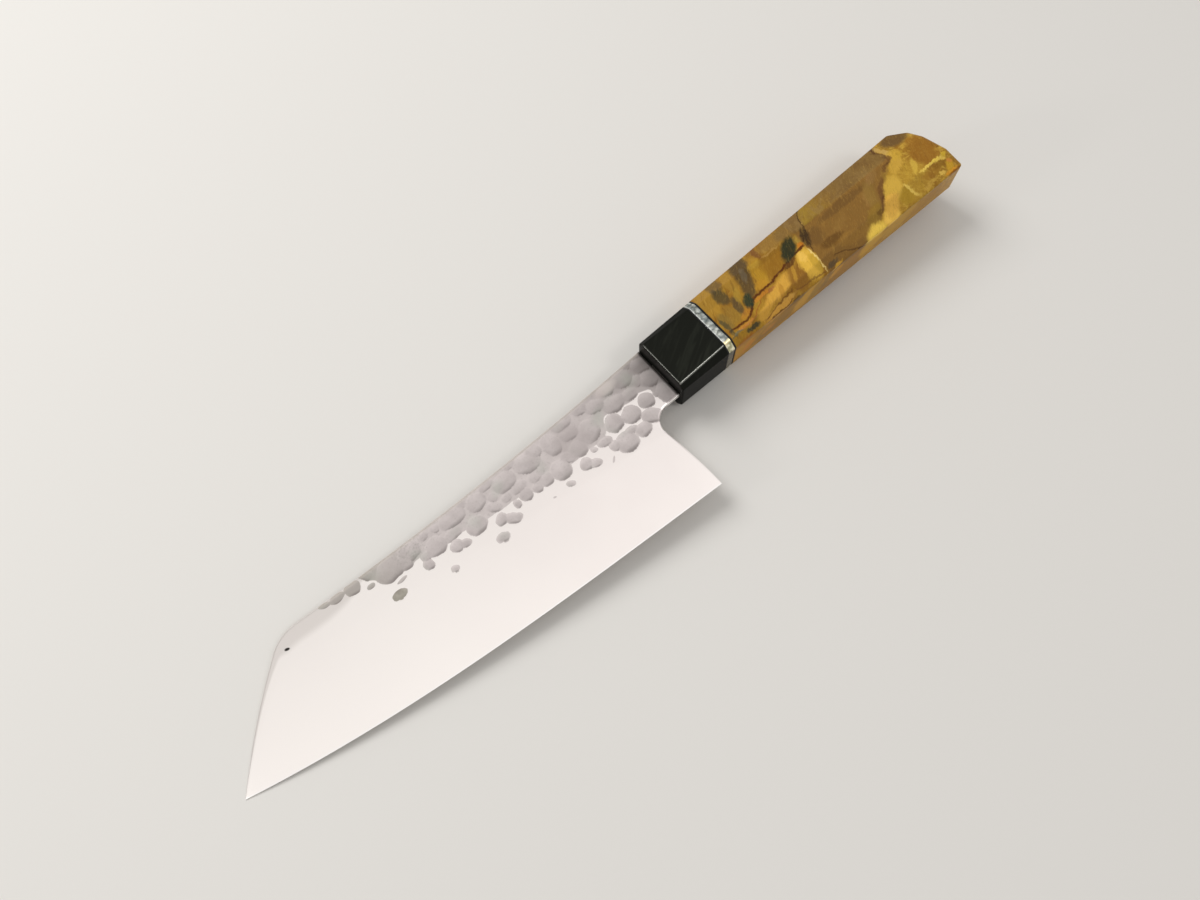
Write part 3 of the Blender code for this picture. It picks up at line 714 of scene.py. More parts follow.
def hammer_tree():
    """Sinks every hammer mark into the blade's skin.

    A repeat zone goes through the marks, and each point keeps the lowest of their hollows.
    """
    tree, given = new_shape_tree("hammer_marks", {
        "Skin": "NodeSocketGeometry", "Marks": "NodeSocketObject", "Depth": 0.2 * MM,
        "Skin Depth": 0.02 * MM, "Unevenness": 0.05 * MM, "Raggedness": 1.1 * MM, "Lean": MARK_LEAN,
        "Steel": "NodeSocketMaterial"})
    marks = add_node(tree, "GeometryNodeObjectInfo", {"Object": given("Marks")}).outputs["Geometry"]
    count = add_node(tree, "GeometryNodeAttributeDomainSize", {"Geometry": marks}, component="MESH")
    position = tree.nodes.new("GeometryNodeInputPosition").outputs[0]
    place = split(tree, position)

    # Ragged copy of the place, so that no mark is a clean ellipse
    fine, slow = wander(tree, position, 330.0, 2.0), wander(tree, position, 150.0, 1.0)
    geometry = given("Skin")
    for axis, name in enumerate(("ragged_x", "ragged_y")):
        push = (fine[axis] + slow[axis] * 1.1) * given("Raggedness")
        geometry = store(tree, geometry, name, place[axis] + push)

    # Forged skin that the grinder leaves above the border line
    line = [(ahead * MM, height * MM) for ahead, height in SKIN_BORDER]
    border = (-place[0]).curve(line, 0.0, 180 * MM, -12 * MM, 18 * MM)
    above = attribute(tree, "ragged_y") - border
    skin = above.ramp(-0.1 * MM, 0.9 * MM, given("Skin Depth") * 0.15, -given("Skin Depth"))
    uneven = (noise(tree, position, 240.0, 1.0) - 0.5) * given("Unevenness")
    geometry = store(tree, geometry, "sunk", skin + uneven * above.ramp(0.2 * MM, 1.5 * MM))

    start = tree.nodes.new("GeometryNodeRepeatInput")
    stop = tree.nodes.new("GeometryNodeRepeatOutput")
    start.pair_with_output(stop)
    plug(tree, count.outputs["Point Count"], start.inputs["Iterations"])
    plug(tree, geometry, start.inputs["Geometry"])

    def of_mark(kind, value):
        node = add_node(tree, "GeometryNodeSampleIndex",
                        {"Geometry": marks, "Value": value, "Index": start.outputs["Iteration"]},
                        data_type=kind, domain="POINT")
        return node.outputs["Value"]

    centre = split(tree, of_mark("FLOAT_VECTOR", tree.nodes.new("GeometryNodeInputPosition").outputs[0]))
    long, short, turn, share, face = (Value(tree, of_mark("FLOAT", attribute(tree, name)))
                                      for name in ("long", "short", "turn", "share", "face"))
    far_x, far_y = attribute(tree, "ragged_x") - centre[0], attribute(tree, "ragged_y") - centre[1]
    across = (far_x * turn.cos() + far_y * turn.sin()) / long
    upright = (far_y * turn.cos() - far_x * turn.sin()) / short
    other_side = abs(attribute(tree, "side") - face) * 100.0
    lean = upright.most(-1.2).least(1.2) * given("Lean")
    sink = given("Depth") * share * (short / FULL_MARK_SIZE).least(1.0) * (-lean + 1.0)
    hollow = (across * across + upright * upright + other_side - 1.0) * sink
    sunk = attribute(tree, "sunk")
    deeper = hollow.math("LESS_THAN", sunk)
    tilt = attribute(tree, "tilt") * (-deeper + 1.0) + upright * deeper
    inner = store(tree, start.outputs["Geometry"], "tilt", tilt)
    inner = store(tree, inner, "sunk", sunk.least(hollow))
    plug(tree, inner, stop.inputs["Geometry"])

    offset = join(tree, 0.0, 0.0, attribute(tree, "sunk").least(0.0) * attribute(tree, "side"))
    moved = add_node(tree, "GeometryNodeSetPosition", {"Geometry": stop.outputs["Geometry"],
                                                       "Offset": offset})
    finish_shape_tree(tree, moved.outputs[0], given("Steel"))
    return tree


# Eight-sided pieces of the handle

def cell_pattern(tree, x, y, z):
    """Distance from the middle of the nearest cell of the spacer's pattern, in cell widths."""
    place = (x / CELL_LENGTH, y / CELL_WIDTH, z / CELL_WIDTH)
    pushes = wander(tree, join(tree, *place), 0.9, 2.0)
    place = join(tree, *(axis + push * CELL_WANDER for axis, push in zip(place, pushes)))
    items = {"Vector": place, "Scale": 1.0, "Smoothness": 0.25, "Randomness": 0.85}
    cells = add_node(tree, "ShaderNodeTexVoronoi", items, feature="SMOOTH_F1")
    return Value(tree, cells.outputs["Distance"])


def eight_sided_tree():
    """Bar of the handle between two places on its axis, with rounded rims and a slanted butt."""
    tree, given = new_shape_tree(BAR_TREE, {
        "Start": 0.0, "End": FERRULE_END, "Front Rim": 0.0, "Rear Rim": 0.0,
        "Handle Length": HANDLE_LENGTH, "Front Half Width": FRONT_HALF_WIDTH,
        "Butt Half Width": BUTT_HALF_WIDTH, "Front Half Height": FRONT_HALF_HEIGHT,
        "Butt Half Height": BUTT_HALF_HEIGHT, "Front Facet Width": FRONT_FACET_WIDTH,
        "Butt Facet Width": BUTT_FACET_WIDTH, "Front Facet Drop": FRONT_FACET_DROP,
        "Butt Facet Drop": BUTT_FACET_DROP, "Far Facet Share": 1.0, "Edge Softness": 1.2, "Slant": 0.0,
        "Cut Start": NO_CUT, "Cut Angle": BUTT_CUT_ANGLE, "Cut Lean": BUTT_CUT_LEAN,
        "Cut Softness": 0.4 * MM, "Ripple Height": 0.0, "Rings": 60, "Points Around": 240,
        "Finish": "NodeSocketMaterial"})
    grid = add_node(tree, "GeometryNodeMeshGrid", {
        "Size X": 1.0, "Size Y": 1.0, "Vertices X": given("Rings"), "Vertices Y": given("Points Around")})
    along, round_about, _ = split(tree, tree.nodes.new("GeometryNodeInputPosition").outputs[0])
    along = along + 0.5
    turn = (round_about + 0.5) * math.tau

    # Along the outline: front face, front rim, straight side, rear rim, rear face
    front_face = along.ramp(0.0, FRONT_FACE_END)
    front_turn = along.ramp(FRONT_FACE_END, FRONT_RIM_END, 0.0, math.pi / 2)
    body = along.ramp(FRONT_RIM_END, SIDE_END)
    rear_turn = along.ramp(SIDE_END, REAR_RIM_END, 0.0, math.pi / 2)
    rear_face = along.ramp(REAR_RIM_END, 1.0, 1.0, 0.0)
    straight = given("End") - given("Start") - given("Front Rim") - given("Rear Rim")
    place = given("Start") + given("Front Rim") * (-front_turn.cos() + 1.0) + straight * body
    place = place + given("Rear Rim") * rear_turn.sin()
    inset = given("Front Rim") * (-front_turn.sin() + 1.0) + given("Rear Rim") * (-rear_turn.cos() + 1.0)

    def section(name, share):
        return given("Front " + name) + (given("Butt " + name) - given("Front " + name)) * share

    share = place / given("Handle Length")
    width, height = section("Half Width", share), section("Half Height", share)
    facet, drop = section("Facet Width", share), section("Facet Drop", share)
    facet = facet * turn.cos().ramp(-0.01, 0.01, 1.0, given("Far Facet Share"))
    cos, sin = abs(turn.cos()), abs(turn.sin())
    slope = (drop * cos + facet * sin) / (width * drop + (height - drop) * facet)
    softness = given("Edge Softness")
    reach = (cos / width).most_soft(slope, softness).most_soft(sin / height, softness)
    cap = front_face * rear_face
    y = turn.cos() / reach * (width - inset) / width * cap
    z = turn.sin() / reach * (height - inset) / height * cap
    x = place - y * given("Slant").math("TANGENT") * body

    # Corner facets at the butt, one above and one below the middle, for pieces that have a cut
    lean, angle = given("Cut Lean"), given("Cut Angle")
    cut_share = given("Cut Start") / given("Handle Length")
    cut_width = section("Half Width", cut_share)
    cut_height = section("Half Height", cut_share) - section("Facet Drop", cut_share)
    normal_x, normal_y = angle.sin() * lean.cos(), angle.cos() * lean.cos()
    outside = (x - given("Cut Start")) * normal_x + (y - cut_width) * normal_y
    outside = (outside + (abs(z) - cut_height) * lean.sin()).most_soft(0.0, given("Cut Softness"))
    outside = outside * given("Cut Start").ramp(NO_CUT * 0.5, NO_CUT * 0.4)
    flat = normal_x * normal_x + normal_y * normal_y
    x = x - outside * normal_x / flat
    y = y - outside * normal_y / flat

    # Rounded cells pressed into a plate
    cells = cell_pattern(tree, x, y, z)
    press = cells.ramp(0.15, 0.8) * given("Ripple Height")
    radius = (y * y + z * z).root().most(1e-6)
    y = y - y / radius * press
    z = z - z / radius * press

    shaped = add_node(tree, "GeometryNodeSetPosition", {"Geometry": grid.outputs["Mesh"],
                                                        "Position": join(tree, x, y, z)})
    closed = add_node(tree, "GeometryNodeMergeByDistance", {"Geometry": shaped.outputs[0],
                                                            "Distance": BAR_WELD_DISTANCE})
    finish_shape_tree(tree, closed.outputs[0], given("Finish"))
    return tree


def eight_sided_piece(name, values):
    """Grows one eight-sided piece of the handle and lays it down. All of them share one tree."""
    tree = bpy.data.node_groups.get(BAR_TREE) or eight_sided_tree()
    piece = grow(name, bpy.data.meshes.new(name + "_start"), tree, values)
    lay_down(piece, BAR_SHARP_ANGLE)
    return piece


# Materials

def stretched(tree, vector, sizes, turn=(0.0, 0.0, 0.0), centre=(0.0, 0.0, 0.0)):
    """Place measured in steps of the given sizes along axes that are turned about the centre."""
    items = {"Vector": vector, "Location": centre, "Rotation": turn, "Scale": sizes}
    return add_node(tree, "ShaderNodeMapping", items, vector_type="TEXTURE").outputs[0]


def new_material(name):
    """Material with its tree and the place on the knife, in metres, in the knife's frame."""
    material = bpy.data.materials.new(name)
    material.use_nodes = True
    tree = material.node_tree
    place = tree.nodes.new("ShaderNodeTexCoord").outputs["Object"]
    return material, tree, stretched(tree, place, (1.0, 1.0, 1.0), (0.0, KNIFE_PITCH, 0.0), KNIFE_PLACE)


def finished(material, inputs):
    """The material with its shader's inputs written or joined."""
    tree = material.node_tree
    for name, item in inputs.items():
        plug(tree, item, tree.nodes["Principled BSDF"].inputs[name])
    return material


def bump(tree, height, distance, strength):
    items = {"Height": height, "Distance": distance, "Strength": strength}
    return add_node(tree, "ShaderNodeBump", items).outputs[0]


def read(tree, name):
    return Value(tree, add_node(tree, "ShaderNodeAttribute", attribute_name=name).outputs["Fac"])


def ellipse_place(tree, x, y, fade=0.0):
    """A place in millimetres as its squares and its plain values, which every ellipse is summed from."""
    return join(tree, x * x + fade, y * y + fade, x * y), join(tree, x, y, 1.0)


def ellipse(tree, place, row, softness=0.3):
    """Share of an ellipse (place x, y, radii, turn, share) in millimetres, with a soft border."""
    cx, cy, rx, ry, turn, share = row[:6]
    cos, sin = math.cos(math.radians(turn)), math.sin(math.radians(turn))
    xx, yy = (cos / rx) ** 2 + (sin / ry) ** 2, (sin / rx) ** 2 + (cos / ry) ** 2
    xy = 2 * cos * sin * (rx ** -2 - ry ** -2)
    plain = (-2 * xx * cx - xy * cy, -2 * yy * cy - xy * cx, xx * cx * cx + yy * cy * cy + xy * cx * cy)
    sums = []
    for part, factors in zip(place, ((xx, yy, xy), plain)):
        node = add_node(tree, "ShaderNodeVectorMath", {0: part, 1: factors}, operation="DOT_PRODUCT")
        sums.append(Value(tree, node.outputs["Value"]))
    return (sums[0] + sums[1]).ease((1 + softness) ** 2, (1 - softness) ** 2, 0.0, share)


def soft_band(ahead, inset):
    """Share of the softer grey band that follows the spine's end and the clip."""
    width = (ahead / MM).curve(SOFT_BAND, 100, 180, 0, 10)
    return (inset / MM / width.most(0.05)).ease(1.25, 0.7)


def steel_material(settings):
    """Satin bevel, grey forging skin in the hammer marks and bright thin edges."""
    material, tree, place = new_material("blade_steel_finish")
    x, y, _ = split(tree, place)
    ahead = -x
    sunk, tilt, inset, wall = (read(tree, name) for name in ("sunk", "tilt", "inset", "wall"))
    grain = noise(tree, stretched(tree, place, (0.17 * MM, 3.6 * MM, 0.4 * MM), (0.0, 0.0, -0.14)), 1.0, 3.0)
    cloud = noise(tree, place, 34.0, 2.0)
    speck = noise(tree, place, 1500.0, 3.0, 0.6)
    patch = noise(tree, place, 260.0, 3.0, 0.55)
    forged = sunk.ramp(0.0, -0.007 * MM)

    # Ground bevel, with a bright rim round each mark
    ground = Layers(tree, settings.ground_colour)
    ground.lay(cloud.ramp(0.3, 0.75), paint(227, 213, 211))
    ground.lay(ahead.ramp(45 * MM, 110 * MM) * 0.8, paint(251, 243, 238))
    ground.lay(soft_band(ahead, inset), paint(196, 184, 178))
    ground.lay(sunk.ramp(0.045 * MM, 0.0) * 0.6, paint(250, 246, 242))

    # Forging skin: painted shade near the ferrule, strongest towards the spine, and in each mark a painted
    # highlight on its spine side and painted shade on its edge side
    skin = Layers(tree, settings.forged_colour)
    skin.lay(patch.ramp(0.35, 0.7), paint(207, 198, 196))
    skin.lay(sunk.ramp(-0.055 * MM, -0.025 * MM) * 0.3, paint(230, 221, 218))
    skin.lay(ahead.ramp(34 * MM, 0.0) * y.ramp(-14 * MM, 6 * MM), paint(154, 146, 143))
    skin.lay(ahead.ramp(96 * MM, 114 * MM) * 0.7, paint(172, 166, 158))
    skin.lay(tilt.ramp(0.0, 0.85) * 0.28, paint(232, 223, 221))
    skin.lay(tilt.ease(-0.45, -1.0) * ahead.ramp(0.0, 45 * MM, 0.85, 0.62), paint(122, 114, 111))
    skin.lay(noise(tree, place, 95.0, 1.0).ramp(0.56, 0.72) * 0.32, paint(176, 184, 170))
    skin.lay(speck.ramp(0.55, 0.8) * 0.3, paint(146, 138, 134))

    # Single marks that are darker, paler, stained or scaly
    flat = ellipse_place(tree, x / MM, y / MM)
    skin.lay(ellipse(tree, flat, DULL_MARK, softness=0.5), paint(176, 166, 164))
    skin.lay(ellipse(tree, flat, PALE_MARK, softness=0.5), paint(222, 211, 205))
    stain = Layers(tree, paint(172, 167, 154)).lay(patch.ramp(0.4, 0.6), paint(134, 128, 116))
    skin.lay(ellipse(tree, flat, STAINED_MARK), stain)
    skin.lay(ellipse(tree, flat, SCALY_MARK, softness=0.8) * speck.ramp(0.45, 0.75), paint(150, 150, 140))

    # Painted highlight along the spine's eased edge, and painted shade along the ferrule
    skin.lay(inset.ramp(1.2 * MM, 0.1 * MM) * 0.5, paint(226, 217, 205))
    skin.lay(ahead.ramp(1.2 * MM, 0.2 * MM), paint(84, 78, 74))

    # Both together, with the pit near the point and the bright honed edge
    tone = Layers(tree, ground).lay(forged, skin)
    tone.lay(ellipse(tree, flat, DARK_PIT), paint(52, 48, 46))
    tone.lay(read(tree, "above_edge").ramp(0.5 * MM, 0.3 * MM) * 0.7, paint(252, 250, 248))

    # Painted highlight on the polished walls of the outline, dimmed by painted shade in the choil, and a
    # painted highlight along the neck's lower rim
    tone.lay(wall * abs(x / MM + 6.8).ramp(1.2, 2.4, 0.35, 1.0), paint(252, 248, 244))
    neck_rim_highlight = (y + 9.3 * MM).ramp(0.0, -0.15 * MM) * x.ramp(-7.4 * MM, -6.4 * MM)
    tone.lay(neck_rim_highlight, paint(252, 248, 244))

    rough = forged.ramp(0.0, 1.0, settings.ground_roughness, settings.forged_roughness)
    relief = grain * (-forged + 1.0) * 0.5 + (speck * 0.5 + patch * 1.2) * forged
    return finished(material, {
        "Base Color": tone, "Metallic": 0.9, "Roughness": rough + (grain - 0.5) * 0.12 - wall * 0.1,
        "Normal": bump(tree, relief, 0.02 * MM, 0.35)})


def horn_material(settings):
    """Polished black horn with faint cloudy streaks, fine scratches, and painted highlights along the near
    top fold and the front rim.
    """
    material, tree, place = new_material("black_horn_finish")
    cloudy = stretched(tree, place, (14 * MM, 2 * MM, 3 * MM), (0.0, 0.0, 0.5))
    streak = noise(tree, cloudy, 1.0, 3.0, 0.6, 0.6)
    scratch = noise(tree, stretched(tree, place, (5 * MM, 0.1 * MM, 0.2 * MM), (0.3, 0.0, 0.7)), 1.0, 2.0)
    x, y, z = (axis / MM for axis in split(tree, place))
    # Painted highlights along the near top fold, fading towards the back, and along the front top rim
    near_fold_highlight = abs(-y - 9.05 + x * 0.026).ramp(0.36, 0.12) * abs(z).ramp(8.3, 8.5)
    front_rim_highlight = x.ramp(0.42, 0.3) * x.ramp(0.02, 0.1) * abs(z).ramp(8.35, 8.5) * y.ramp(9.2, 8.6)
    tone = Layers(tree, settings.horn_colour).lay(streak.ramp(0.5, 0.8) * 0.7, paint(52, 54, 47))
    tone.lay((near_fold_highlight * x.ramp(0.0, 20.0, 0.6, 0.4)).most(front_rim_highlight * 0.3), paint(160, 160, 153))
    return finished(material, {
        "Base Color": tone, "Roughness": scratch.ramp(0.3, 0.8, 0.05, 0.12), "Metallic": 0.55,
        "Specular Tint": (0.12, 0.12, 0.12), "Specular IOR Level": 0.09,
        "Normal": bump(tree, scratch, 0.004 * MM, 0.2)})


def fibre_material(settings):
    """Matt black fibre with a fine weave."""
    material, tree, place = new_material("black_fibre_finish")
    weave = noise(tree, place, 4200.0, 3.0)
    tone = Layers(tree, settings.fibre_colour).lay(weave.ramp(0.4, 0.8), paint(34, 33, 32))
    return finished(material, {
        "Base Color": tone, "Roughness": weave.ramp(0.2, 0.8, 0.35, 0.6), "Specular IOR Level": 0.3,
        "Normal": bump(tree, weave, 0.02 * MM, 0.4)})


def spacer_material(settings):
    """Bright light metal with a pressed pattern of small rounded cells."""
    material, tree, place = new_material("patterned_metal_finish")
    x, y, z = split(tree, place)
    distance = cell_pattern(tree, x, y, z)
    fine = noise(tree, place, 2600.0, 3.0, 0.6)
    glint = noise(tree, place, 500.0, 1.0)
    tone = Layers(tree, settings.metal_colour)
    tone.lay(distance.ramp(0.25, 0.7), paint(100, 105, 100))
    # Painted glints on the tops of the cells
    tone.lay(glint.ramp(0.45, 0.7) * distance.ramp(0.5, 0.2) * 0.7, paint(236, 238, 232))
    tone.lay(fine.ramp(0.5, 0.8) * 0.35, paint(160, 165, 160))
    tone.lay(noise(tree, place, 300.0, 3.0).ramp(0.45, 0.6) * 0.45, paint(112, 124, 126))
    # Painted highlight along the front rim
    tone.lay(x.ramp(SPACER_START + 0.45 * MM, SPACER_START + 0.3 * MM) * 0.6, paint(236, 238, 234))

    # Painted cream highlight on the near facet, and painted shade on the near and far walls
    near = -y / MM + (glint - 0.5) * 1.6
    near_facet_highlight = Layers(tree, paint(254, 247, 214)).lay(glint.ramp(0.5, 0.62), paint(172, 168, 130))
    near_facet_highlight.lay(near.ramp(9.2, 8.7), paint(255, 238, 188))
    tone.lay(near.ramp(7.6, 7.9) * 0.9, near_facet_highlight)
    walls = abs(z).ramp(6.6 * MM, 5.8 * MM) * abs(y).ramp(8.3 * MM, 8.9 * MM)
    tone.lay(walls * 0.85, paint(92, 88, 82))
    return finished(material, {
        "Base Color": tone, "Metallic": 0.9, "Roughness": fine.ramp(0.2, 0.8, 0.24, 0.38),
        "Normal": bump(tree, -distance + fine * 0.15, 0.2 * MM, 0.5)})


# Spots of the burl's front, smoky middle and butt: place, radii (mm), turn (degrees), share and tone
BURL_SPOTS = (
    (26.2, 6.5, 3.4, 6.0, -15, 0.8, (176, 134, 50)), (25.6, -3.2, 2.0, 3.6, 0, 0.8, (132, 106, 50)),
    (28.8, -2.4, 2.2, 3.4, 0, 0.6, (146, 114, 48)), (31.6, 9.8, 2.4, 4.0, -15, 0.85, (112, 88, 50)),
    (30.6, 4.6, 1.9, 3.6, 8, 0.8, (66, 62, 44)), (32.4, -1.4, 1.5, 3.6, -14, 0.9, (86, 70, 46)),
    (36.3, 7.4, 2.0, 5.6, -14, 0.9, (174, 132, 50)), (34.7, 1.5, 1.2, 2.9, -24, 0.7, (168, 134, 50)),
    (42.4, 8.2, 3.2, 6.2, -22, 0.95, (86, 68, 42)), (39.5, 1.4, 2.3, 4.5, -22, 0.95, (90, 70, 42)),
    (41.4, 5.6, 0.9, 2.6, -25, 0.6, (112, 100, 80)), (46.2, 3.6, 2.6, 5.2, -20, 0.95, (180, 136, 40)),
    (46.6, 5.9, 2.4, 1.0, -6, 0.45, (200, 160, 62)), (43.6, -0.8, 2.6, 1.7, 0, 0.8, (188, 138, 42)),
    (52.0, 2.6, 4.8, 4.6, 0, 0.8, (146, 102, 30)), (50.4, 9.4, 1.0, 3.4, -15, 0.8, (122, 76, 36)),
    # The thin pale line at 53.6 mm, 6.1 mm towards the spine, is a painted highlight along the far fold
    (57.0, 8.8, 5.4, 2.7, 0, 0.7, (150, 114, 54)), (53.6, 6.1, 3.8, 0.35, 0, 0.5, (192, 148, 78)),
    (46.5, -6.0, 7.4, 2.3, 14, 0.95, (214, 162, 66)), (37.6, -8.6, 3.4, 1.5, 20, 0.8, (212, 160, 64)),
    (46.6, -7.0, 0.8, 3.0, -32, 0.5, (168, 116, 40)), (32.6, -5.0, 2.8, 1.0, 12, 0.5, (192, 126, 46)),
    (29.8, -8.1, 3.0, 0.6, 3, 0.62, (206, 130, 56)), (40.4, -3.9, 3.2, 0.6, 6, 0.6, (204, 128, 44)),
    (44.6, -4.2, 1.8, 0.6, 8, 0.6, (146, 78, 52)), (54.6, -6.6, 3.2, 4.6, -18, 0.85, (140, 96, 36)),
    (54.2, -5.2, 0.7, 3.0, -28, 0.6, (196, 148, 54)), (61.0, -5.2, 3.1, 5.6, -7, 1.0, (226, 180, 70)),
    (62.6, -6.6, 1.3, 3.4, -4, 0.7, (190, 152, 50)), (60.6, -2.4, 1.3, 2.2, -10, 0.6, (244, 198, 96)),
    (43.4, -10.3, 6.4, 0.75, 3, 0.7, (216, 166, 84)), (63.95, -6.2, 0.3, 5.0, 0, 0.9, (238, 208, 128)),
    (63.0, 1.0, 1.4, 0.8, 0, 0.7, (200, 118, 34)), (63.6, 3.2, 1.5, 1.4, 0, 0.7, (170, 138, 60)),
    (63.2, 8.6, 4.2, 3.2, 0, 0.7, (126, 98, 54)), (42.0, -11.0, 6.5, 1.3, 4, 0.8, (204, 150, 62)),
    (50.5, -12.8, 5.5, 1.1, 3, 0.8, (100, 76, 44)), (58.0, -12.6, 3.6, 0.9, 0, 0.8, (196, 152, 50)),
    (27.0, -11.6, 3.6, 1.0, 0, 0.7, (160, 100, 40)), (26.5, -15.5, 6.0, 3.0, 0, 0.8, (190, 136, 40)),
    (31.5, -16.0, 2.4, 2.0, 0, 0.7, (202, 118, 36)), (43.5, -17.0, 8.5, 3.6, 0, 0.85, (116, 88, 48)),
    (40.5, -15.5, 2.6, 1.2, 0, 0.7, (186, 118, 50)), (56.0, -16.0, 3.8, 3.4, 0, 0.9, (206, 156, 48)),
    (61.5, -17.0, 2.4, 3.4, 0, 0.8, (136, 112, 48)),
)
SMOKE_SPOTS = (
    (92.6, -1.2, 3.4, 1.8, 55, 0.6, (154, 116, 60)), (88.0, -8.6, 5.2, 1.5, 4, 0.6, (154, 118, 50)),
    (78.5, -2.0, 4.0, 1.4, 24, 0.5, (144, 108, 52)), (97.5, 3.2, 3.0, 1.3, 30, 0.5, (150, 112, 66)),
    (69.0, 0.5, 3.4, 3.4, 0, 0.5, (98, 70, 38)), (72.0, -5.0, 4.6, 1.8, -6, 0.8, (98, 66, 28)),
    (84.0, 3.2, 10.0, 1.6, 0, 0.6, (104, 74, 38)), (80.0, -8.2, 8.0, 1.8, -10, 0.6, (150, 110, 48)),
    (94.0, -1.0, 2.2, 4.6, -25, 0.6, (140, 110, 50)), (90.0, -7.0, 4.4, 2.0, 25, 0.7, (144, 112, 40)),
    (68.5, -12.2, 2.3, 0.5, 14, 0.95, (206, 156, 54)), (67.2, -10.6, 2.4, 0.9, 0, 0.8, (82, 68, 50)),
    (99.0, 3.4, 3.4, 1.2, 25, 0.6, (140, 106, 56)), (66.0, -15.5, 2.4, 2.4, 0, 0.8, (104, 88, 56)),
    (70.0, -15.0, 2.6, 1.6, 10, 0.85, (206, 148, 46)), (78.0, -16.5, 6.0, 3.4, 0, 0.7, (148, 102, 48)),
)
BUTT_SPOTS = (
    (87.0, -12.0, 4.4, 2.8, 0, 1.0, (246, 206, 86)), (87.0, -16.0, 5.0, 2.6, 0, 0.9, (206, 160, 46)),
    (94.8, -11.2, 3.4, 2.4, -10, 1.0, (248, 200, 88)), (101.0, -16.0, 8.0, 3.0, 0, 0.85, (196, 154, 50)),
    (106.5, -5.0, 8.0, 7.0, 0, 0.55, (186, 148, 52)), (101.5, -4.0, 4.6, 3.2, 45, 0.8, (212, 172, 70)),
    (97.0, -8.4, 3.8, 2.6, 40, 0.85, (222, 172, 74)), (109.0, 1.6, 3.8, 2.0, 34, 0.75, (208, 166, 66)),
    (103.5, -9.0, 2.6, 2.4, 0, 0.7, (170, 134, 36)), (112.6, -3.2, 1.0, 3.2, -38, 0.7, (214, 178, 72)),
    (119.5, -0.6, 4.6, 6.6, -8, 0.85, (146, 98, 32)), (116.0, -8.4, 4.6, 1.3, -4, 0.5, (160, 112, 36)),
    (113.0, -17.0, 7.0, 3.4, 0, 0.7, (152, 110, 46)), (110.3, 8.8, 1.0, 3.4, 14, 0.85, (206, 168, 92)),
    (111.6, 4.6, 2.6, 2.0, -30, 0.8, (202, 162, 58)), (117.0, 9.6, 4.6, 3.0, -8, 0.95, (112, 84, 48)),
    # The thin pale streaks from 106 to 124 mm, 6 to 8.4 mm towards the edge, are painted highlights
    (120.4, -8.4, 2.6, 1.0, -16, 0.7, (136, 94, 22)), (106.0, -8.4, 0.5, 2.8, 22, 0.9, (228, 194, 92)),
    (116.0, -6.0, 3.6, 0.4, 2, 0.95, (236, 202, 92)), (120.4, -6.4, 2.4, 0.6, -10, 0.95, (234, 200, 84)),
    (122.4, -7.2, 1.4, 0.7, -32, 0.9, (228, 192, 84)), (123.8, -6.3, 1.3, 0.8, 0, 0.8, (214, 178, 56)),
    (113.5, -10.8, 3.2, 0.8, 6, 0.6, (196, 156, 66)), (119.2, -10.7, 1.1, 0.5, -35, 0.8, (230, 190, 88)),
    (123.4, -10.8, 1.7, 1.5, 0, 0.75, (210, 162, 44)), (124.3, -9.3, 1.0, 0.7, -40, 0.8, (212, 140, 62)),
    (122.8, -12.1, 3.0, 0.6, 0, 0.85, (220, 152, 42)), (124.0, -13.0, 2.4, 0.6, 0, 0.7, (140, 80, 14)),
)
# Border of the golden butt: height above the axis and distance behind the ferrule's front (mm)
BUTT_BORDER = (
    (-16, 85), (-11, 88), (-9, 91.5), (-7.5, 94.5), (-5, 97), (-1.3, 100.6), (0.5, 103), (1.5, 105.2),
    (3.5, 108.2), (5.5, 110.8), (7, 109.8), (9, 109), (12, 110), (16, 111),
)

# Veins of the burl: points on the line (mm), width, share and tone
BURL_VEINS = (
    (((24, -6.9), (30, -6.9), (34, -5.8), (37, -3.8), (39, -2.9), (45, -2.4), (50, -1.7), (54, -0.9),
      (58, 0.0), (64, 0.4)), 0.6, 0.95, (84, 38, 12)),
    (((37, -10.6), (44, -9.4), (50, -8.8)), 0.28, 0.75, (110, 68, 26)),
    (((51, -9.6), (56, -9.9), (64, -10.6)), 0.3, 0.6, (110, 70, 34)),
    (((37, -11.6), (42, -11.3), (49, -11.1)), 0.3, 0.8, (96, 56, 22)),
    (((33, -8.8), (35, -7.4), (37, -6.0), (39, -4.9)), 0.3, 0.6, (146, 74, 34)),
    (((69, -9.0), (75, -10.5), (80, -12.4), (84, -13.5)), 0.3, 0.8, (88, 56, 24)),
    (((64.6, -3), (66.5, 0.6), (68.2, 4.0), (70.0, 8.0), (73.5, 12.5)), 0.5, 0.85, (66, 42, 20)),
)

# Pockets and stains laid over the veins, in the form of the spots
BURL_POCKETS = (
    (59.0, 2.7, 4.6, 2.5, 38, 0.97, (34, 44, 30)), (36.1, -2.6, 1.6, 2.6, -32, 0.95, (36, 52, 38)),
    (31.4, -10.1, 2.4, 0.8, -8, 0.9, (52, 58, 44)), (66.6, 2.4, 1.5, 3.3, -24, 0.95, (58, 42, 26)),
    (55.6, -1.5, 2.6, 0.8, 12, 0.85, (84, 48, 22)), (24.6, -4.8, 0.7, 4.2, 5, 0.7, (66, 66, 48)),
    # The grey line at 26 mm along the near fold is a painted reflection
    (26.0, -8.7, 2.4, 0.4, 0, 0.7, (104, 106, 82)), (98.4, -1.4, 0.8, 3.6, -44, 0.7, (104, 66, 36)),
    (105.0, 3.0, 1.9, 0.7, 30, 0.7, (104, 68, 34)), (109.2, 5.3, 1.1, 1.2, -30, 0.75, (104, 68, 36)),
    (92.0, -7.9, 1.6, 0.8, 10, 0.7, (106, 74, 28)),
)


